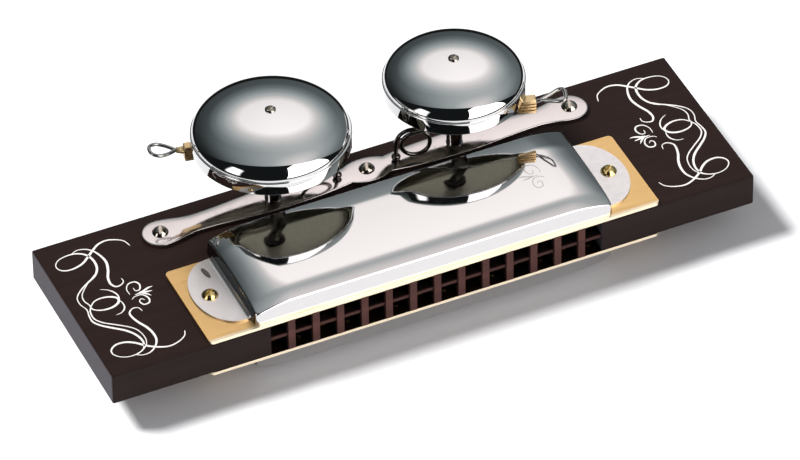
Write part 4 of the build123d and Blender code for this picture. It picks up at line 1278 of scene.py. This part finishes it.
for side, s in STRIKERS.items():
    half = np.array(HALF_LOOPS[side])
    outline = np.vstack([[[LOOP_START, 0.0]], half, (half * [1, -1])[::-1]])
    line = smooth_line(outline, 9, closed=True)
    start = HAMMER_LONG / 2 + s.neck
    loop = s.on_arm(np.column_stack([line[:, 0] + start, line[:, 1], 0 * line[:, 0]]))
    back = np.hypot(s.rise, s.hammer_out - s.middle)
    first = -np.sqrt(back ** 2 - COIL_RADIUS ** 2)
    along_arm = np.linspace(first, start + ARM_OVERLAP, ARM_STEPS)
    arm = s.on_arm(np.column_stack([along_arm, 0 * along_arm, 0 * along_arm]))
    above = s.on_arm([0, 0, 1.0]) - s.on_arm([0, 0, 0.0])
    wires = [tube(arm, WIRE / 2, s.left), tube(loop, WIRE / 2, above, closed=True)]
    make_piece(f"{side}_arm_and_loop", wires, "loop_steel", f"{side}_striker",
               [f"{side}_striker_arm"])

# %% [markdown]
# ### Hammers
# A hammer is a small brass casting with ledges down both long sides, wider at the foot,
# where it meets the bell. Stacked boxes would give the ledges but hard corners too. Here
# the cross-section is a stepped outline; carried along the arm and drawn in a little at
# both ends it gets the soft edges of a casting. A round boss at the outer end holds the
# wire.

# %% Hammer castings
# half width at each height above the middle, from the foot up: ledges with grooves between
HAMMER_HALF = [(1.72, -2.10), (1.90, -1.92), (1.90, -1.34), (1.80, -1.22), (1.40, -1.14),
               (1.36, -0.92), (1.66, -0.82), (1.68, -0.42), (1.60, -0.32), (1.22, -0.24),
               (1.18, -0.02), (1.48, 0.08), (1.50, 0.48), (1.42, 0.58), (1.06, 0.66),
               (1.02, 0.88), (1.34, 0.98), (1.38, 1.86), (1.16, 2.10)]
# distance from an end, and the share of full width there; height is drawn in about half that
ENDS = np.array([(0.0, 0.80), (0.06, 0.90), (0.22, 0.975), (0.45, 1.0)])
END_HEIGHT_SHARE = 0.55
# places along the boss from the hammer's end, and its radius there
BOSS = np.array([(-0.25, 0), (-0.25, 1.05), (-0.05, 1.05), (0.07, 0.93), (0.07, 0)])


def round_bar(places, steps):
    """(along, radius) pairs turned about the arm, closed where the radius is 0."""
    t = np.linspace(0, 2 * np.pi, steps, endpoint=False)
    return np.stack([np.repeat(places[:, :1], steps, 1), places[:, 1:] * np.cos(t),
                     places[:, 1:] * np.sin(t)], -1)


def hammer_shells(s):
    """Ring i is the stepped outline times the end's share, at a place along the arm."""
    half = np.array(HAMMER_HALF)
    ring = np.vstack([half, (half * [-1, 1])[::-1]])
    out, share = ENDS.T
    along_arm = np.concatenate([[0], out, HAMMER_LONG - out[::-1], [HAMMER_LONG]]) - HAMMER_LONG / 2
    share = np.concatenate([[0], share, share[::-1], [0]])
    tall = 1 - (1 - share) * END_HEIGHT_SHARE
    tall[[0, -1]] = 0
    body = np.stack([np.repeat(along_arm[:, None], len(ring), 1), share[:, None] * ring[None, :, 0],
                     tall[:, None] * ring[None, :, 1]], -1)
    boss = round_bar(BOSS + [HAMMER_LONG / 2, 0], 24)
    shift = np.array([s.hammer_out, -COIL_ADVANCE, s.rise])
    return [surface(s.put(shell + shift), round_columns=True) for shell in (body, boss)]


for side, s in STRIKERS.items():
    make_piece(f"{side}_hammer_casting", hammer_shells(s), "hammer_brass", f"{side}_striker",
               [f"{side}_hammer"], crease=24)

# %% [markdown]
# The left loop's wire ends in a short brass sleeve next to the hammer. It is a round bar
# with a swelling near the hammer and a taper towards the loop.

# %% Loop sleeve
# distance from the hammer's end, and radius
SLEEVE = np.array([[0.05, 0], [0.05, 1.0], [0.35, 1.06], [1.2, 0.92], [2.0, 0.82], [2.15, 0.72],
                   [2.15, 0]])
sleeve = STRIKERS["left"].on_arm(round_bar(SLEEVE + [HAMMER_LONG / 2, 0], 28))
make_piece("left_wire_sleeve", [surface(sleeve, round_columns=True)], "hammer_brass",
           "left_striker", ["left_loop_ferrule"])

# %% [markdown]
# ## Screws
# A round-head screw is a cap of a sphere with one slot across it. A boolean could cut the
# slot, but leaves long thin faces that polished metal shows. So the head is a grid whose
# columns run along the slot: each row keeps its distance across, and the slot's two walls
# are simply two rows that share a place but not a height.

# %% Slotted heads
HEAD_BRIM, HEAD_STEPS = 0.18, 14
SLOT_CLEARANCE, WALL_CLEARANCE = 1.05, 1.001


def slotted_head(x, y, seat, radius, height, slot_width, slot_depth, angle):
    """Height over the disc: a sphere's cap above a short brim, minus the slot's depth in it."""
    w = slot_width / 2
    ball = (radius ** 2 + (height - HEAD_BRIM) ** 2) / (2 * (height - HEAD_BRIM))
    side = radius * np.sin(np.linspace(0, np.pi / 2, HEAD_STEPS + 1))
    side = side[side > w * SLOT_CLEARANCE]
    across = np.concatenate([-side[::-1], [-w, -w, w, w], side])
    cut = np.abs(across) <= w * WALL_CLEARANCE
    cut[[len(side), len(side) + 3]] = False
    share = np.linspace(-1, 1, 2 * HEAD_STEPS + 1)
    reach = np.sqrt(np.maximum(radius ** 2 - across ** 2, 0))
    v = reach[:, None] * np.sin(share * np.pi / 2)[None, :]
    u = np.repeat(across[:, None], len(share), 1)
    cap = np.sqrt(np.maximum(ball ** 2 - u ** 2 - v ** 2, 0)) - ball + height
    top = np.minimum(np.where(cut[:, None], height - slot_depth, cap), cap + 1e-9)
    c, s = np.cos(angle), np.sin(angle)

    def placed(z):
        """u across and v along the slot, turned by the angle and set down at (x, y)."""
        return np.stack([x + u * s + v * c, y - u * c + v * s, seat + z + 0 * u], -1)

    head = placed(top)
    rim = np.concatenate([head[:, 0], head[::-1, -1]])
    foot = rim * [1, 1, 0] + [0, 0, seat]
    return [surface(head), surface(np.stack([rim, foot]), round_columns=True),
            surface(placed(0.0))]


print("a head is a grid with", 2 * HEAD_STEPS + 1, "columns")

# %% [markdown]
# ### Screw heads in their places
# Two brass screws hold the upper cover by its ears, three nickelled ones hold the strap and
# one small one each bell. A fitter stops turning where a screw is tight, so slots point
# anywhere; here each kind has an angle of its own.

# %% Screw heads
EAR_TOP = PLATE_TOP + COVER_SHEET
COVER_SCREWS = [(x, 0.7) for x in (-59.2, 59.2)]
STRAP_SCREWS = [(x, STRAP_Y) for x in (-STRAP_SCREWS_AT, 0.0, STRAP_SCREWS_AT)]
# radius, height, slot width, slot depth, angle of the slot
COVER_HEAD = 2.25, 1.5, 0.7, 0.7, np.radians(35)
STRAP_HEAD = 2.25, 1.6, 0.7, 0.7, np.radians(70)
BELL_HEAD = 1.5, 0.8, 0.5, 0.4, np.radians(20)
STRAP_HEAD_SUNK, BELL_HEAD_SUNK = 0.1, 0.03


def make_heads(name, places, head, finish, node):
    """One piece from the heads at (x, y, seat) places."""
    shells = [shell for x, y, seat in places for shell in slotted_head(x, y, seat, *head)]
    make_piece(name, shells, finish, "instrument", [node], crease=35)


make_heads("upper_cover_screw_heads", [(x, y, EAR_TOP) for x, y in COVER_SCREWS], COVER_HEAD,
           "screw_brass", "upper_cover_screws")
make_heads("strap_screw_heads", [(x, y, STRAP_TOP - STRAP_HEAD_SUNK) for x, y in STRAP_SCREWS],
           STRAP_HEAD, "screw_nickel", "strap_screws")
for side, (x, y, top) in BELLS.items():
    make_heads(f"{side}_bell_screw_head", [(x, y, top - BELL_HEAD_SUNK)], BELL_HEAD,
               "screw_nickel", f"{side}_bell_screw")

# %% [markdown]
# ## Painted flourishes
# The comb's ends carry pen flourishes in white ink. A pen line is a smooth centre line with
# a width that swells in its middle and thins at both ends. Each line is given by a few
# places that it runs through, its thin width and its swell. The right end's flourish is
# the left one's mirror, so only the left one is written down. An image of the ink would
# blur close up; real shapes stay sharp at any distance.

# %% Ink strokes of the left end
# each stroke: thin width, swell width, and the places its line runs through
STROKES = {
    "long_sweep": (0.34, 0.8, [(-70.1, 29.7), (-70.9, 32.2), (-72.6, 33.6), (-75.1, 34.5),
        (-77.7, 34.0), (-79.8, 32.5), (-82.1, 30.5), (-84.3, 28.7), (-86.9, 27.7),
        (-89.6, 27.7), (-91.2, 28.8), (-91.5, 30.6), (-90.3, 32.3), (-88.2, 33.1),
        (-85.7, 33.2), (-83.7, 32.5), (-82.1, 30.9), (-81.4, 28.2), (-81.8, 25.1),
        (-83.5, 22.5), (-86.5, 20.6), (-89.3, 18.6), (-91.2, 16.3), (-91.5, 13.6),
        (-90.7, 10.9), (-91.1, 8.3), (-91.1, 5.7), (-89.6, 3.4), (-87.2, 1.2), (-84.4, -1.3),
        (-82.6, -4.1), (-82.0, -7.1), (-82.8, -9.6), (-84.9, -10.9), (-87.5, -11.1),
        (-89.8, -10.2), (-91.2, -8.4), (-90.9, -6.6), (-89.1, -5.3), (-86.5, -5.4),
        (-84.2, -6.7), (-81.9, -9.0), (-79.3, -10.8), (-76.4, -11.8), (-73.4, -11.2),
        (-71.1, -9.7), (-70.2, -7.7)]),
    "upper_hook": (0.3, 0.85, [(-85.9, 33.3), (-83.8, 34.1), (-81.6, 33.5), (-80.0, 31.9),
        (-78.9, 29.1), (-78.6, 26.2), (-79.4, 23.1), (-80.6, 20.3), (-80.9, 17.7),
        (-80.0, 16.1), (-78.5, 16.2), (-77.4, 17.2), (-77.4, 18.7)]),
    "inner_line": (0.26, 0.48, [(-82.5, 23.7), (-84.9, 21.7), (-87.4, 19.5), (-89.5, 16.9),
        (-90.0, 14.4), (-89.3, 11.8), (-90.2, 9.6), (-90.3, 6.7), (-88.8, 4.3), (-85.9, 2.0),
        (-83.1, -0.3), (-81.5, -2.5), (-80.9, -5.7), (-81.5, -8.3), (-83.3, -10.2),
        (-85.7, -11.0)]),
    "middle_ring": (0.4, 0.85, [(-89.5, 11.2), (-87.7, 13.0), (-85.3, 13.5), (-82.9, 12.9),
        (-81.4, 11.5), (-82.1, 9.8), (-84.4, 8.8), (-87.1, 9.0), (-89.0, 10.1), (-89.5, 11.9)]),
    "upper_crescent": (0.2, 0.5, [(-84.5, 16.9), (-82.5, 15.7), (-81.2, 13.8), (-81.0, 11.6),
        (-82.2, 9.8)]),
    "lower_crescent": (0.2, 0.5, [(-81.7, 11.2), (-81.0, 9.5), (-81.2, 7.4), (-82.6, 5.9),
        (-84.5, 5.6)]),
    "lower_stem": (0.3, 0.82, [(-77.4, 4.0), (-77.9, 5.7), (-79.4, 6.1), (-80.8, 4.9),
        (-80.9, 3.1), (-80.2, 0.5), (-78.9, -2.4), (-78.3, -5.2), (-78.5, -8.0), (-79.9, -10.4),
        (-82.0, -11.9), (-84.2, -12.0), (-86.1, -10.9)]),
    "first_spiral": (0.26, 0.55, [(-77.9, 11.4), (-77.9, 13.8), (-76.7, 15.6), (-74.8, 15.7),
        (-74.0, 14.2), (-74.7, 12.4), (-75.9, 12.3), (-76.1, 13.7)]),
    "second_spiral": (0.26, 0.55, [(-78.2, 9.4), (-77.1, 10.2), (-75.0, 10.1), (-73.9, 8.2),
        (-74.4, 6.5), (-76.0, 6.3), (-76.6, 7.8), (-75.9, 8.7), (-75.0, 7.9)]),
    "leaf_upper": (0.3, 0.75, [(-75.5, 11.2), (-74.0, 11.4), (-72.4, 12.0), (-71.1, 12.1)]),
    "leaf_middle": (0.3, 0.8, [(-76.8, 10.9), (-74.9, 10.9), (-73.3, 10.7), (-71.8, 10.5)]),
    "leaf_lower": (0.25, 0.6, [(-75.0, 10.7), (-73.7, 9.9), (-72.8, 8.8)]),
}
print(len(STROKES), "strokes,", sum(len(places) for _, _, places in STROKES.values()), "places")

# %% [markdown]
# ### From a pen line to a ribbon
# Each stroke becomes a very thin closed ribbon: its ring has four corners, two on the ink's
# surface just above the wood and two in the wood. Strokes that cross lie at slightly
# different heights, so none flickers.

# %% Ribbons
INK_LIFT, INK_STEP, INK_DEPTH, PEN = 0.03, 0.004, 0.12, 0.82
POINTS_A_SWELL, TIP_POINTS = 11, 3


def ribbon(points, thin, swell, height, steps=9):
    """Half the width to each side, where width = pen (thin + (swell - thin) sin(pi share)^2),
    with one more swell for every eleven places, and both ends run to a point."""
    line = smooth_line(points, steps)
    step = np.gradient(line, axis=0)
    side = np.stack([-step[:, 1], step[:, 0]], -1) / np.linalg.norm(step, axis=1, keepdims=True)
    share = np.linspace(0, 1, len(line))
    swells = max(1, len(points) // POINTS_A_SWELL)
    width = PEN * thin + PEN * (swell - thin) * np.sin(np.pi * share * swells) ** 2
    width *= np.sqrt(np.clip(np.minimum(share, 1 - share) * len(line) / TIP_POINTS, 0, 1))
    reach = width[:, None, None] / 2 * side[:, None] * np.array([1, -1, -1, 1])[None, :, None]
    flat = line[:, None] + reach
    level = height(flat) - np.array([0, 0, INK_DEPTH, INK_DEPTH])
    points = np.concatenate([flat, level[..., None]], -1)
    ends = points[[0, -1]].mean(1, keepdims=True) * np.ones((1, 4, 1))
    return surface(np.concatenate([ends[:1], points, ends[1:]]), round_columns=True)


def on_comb(flat):
    """The comb's top, the same everywhere, a little raised."""
    return np.full(flat.shape[:2], COMB_TOP + INK_LIFT)


for side, mirror in (("left", 1), ("right", -1)):
    strokes = [ribbon(np.array(places) * [mirror, 1], thin, swell,
                      lambda flat, k=k: on_comb(flat) + INK_STEP * k)
               for k, (thin, swell, places) in enumerate(STROKES.values())]
    make_piece(f"{side}_flourish", strokes, "white_ink", "instrument", crease=60)

# %% [markdown]
# ### Scroll on the cover
# The cover carries only a small scroll, pressed so lightly that it reads as a faint grey
# line. It could be a bump in the finish, but form should be form. So it is a ribbon too:
# the spirals of the flourish, moved onto the cover, follow the sheet's height.

# %% Scroll on the cover
SCROLL_AT, SCROLL_SIZE = np.array([36.0, -0.2]), 0.95
SCROLL_THIN, SCROLL_SWELL = 0.8, 0.6
PRESSED_LIFT, PRESSED_STEP = 0.012, 0.002
MOTIF = ("first_spiral", "second_spiral", "leaf_upper", "leaf_middle")
MOTIF_MIDDLE = np.array([-75.2, 11.0])
section_y, section_z = section[np.argsort(section[:, 0])].T


def on_cover(flat):
    """Height of the sheet at y, a hundredth of a millimetre above it."""
    return np.interp(flat[..., 1], section_y, section_z) + PRESSED_LIFT


scroll = []
for k, name in enumerate(MOTIF):
    thin, swell, places = STROKES[name]
    spot = (np.array(places) - MOTIF_MIDDLE) * [-1, 1] * SCROLL_SIZE + SCROLL_AT
    scroll.append(ribbon(spot, thin * SCROLL_THIN, swell * SCROLL_SWELL,
                         lambda flat, k=k: on_cover(flat) + PRESSED_STEP * k))
make_piece("cover_scroll", scroll, "pressed_line", "instrument", crease=60)

# %% [markdown]
# ## Solids that keep their own shape
# Plates, reeds, rivets, nails and the comb are already as exact as they need to be: flat
# sheet and sawn wood have no softness to add. They only get their finishes. The solids that
# a piece stands for get one too, so that nothing is ever without a finish.

# %% Dress the solids
KEPT = {
    "dark_wood": "comb",
    "comb_wood": "chamber_walls chamber_divider",
    "plate_brass": "upper_reed_plate lower_reed_plate",
    "reed_brass": "upper_blow_reeds lower_blow_reeds upper_draw_reeds lower_draw_reeds "
                  "upper_reed_rivets lower_reed_rivets",
    "screw_brass": "upper_plate_nails lower_plate_nails upper_cover_screws lower_cover_screws",
    "screw_nickel": "strap_screws left_bell_screw right_bell_screw",
    "washer_fibre": "bell_washers",
    "cover_chrome": "upper_cover lower_cover",
    "strap_nickel": "bell_strap left_bell_post right_bell_post",
    "bell_chrome": "left_bell right_bell",
    "spring_steel": "striker_anchors left_striker_spring right_striker_spring "
                    "left_striker_arm right_striker_arm",
    "hammer_brass": "left_hammer right_hammer left_loop_ferrule",
}
dressed = 0
for finish, names in KEPT.items():
    for name in names.split():
        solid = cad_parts[name]
        if not solid.material_slots:
            solid.data.materials.append(FINISH[finish])
        for material_slot in solid.material_slots:
            material_slot.material = FINISH[finish]
        dressed += 1
print(dressed, "of", len(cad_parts), "solids dressed")
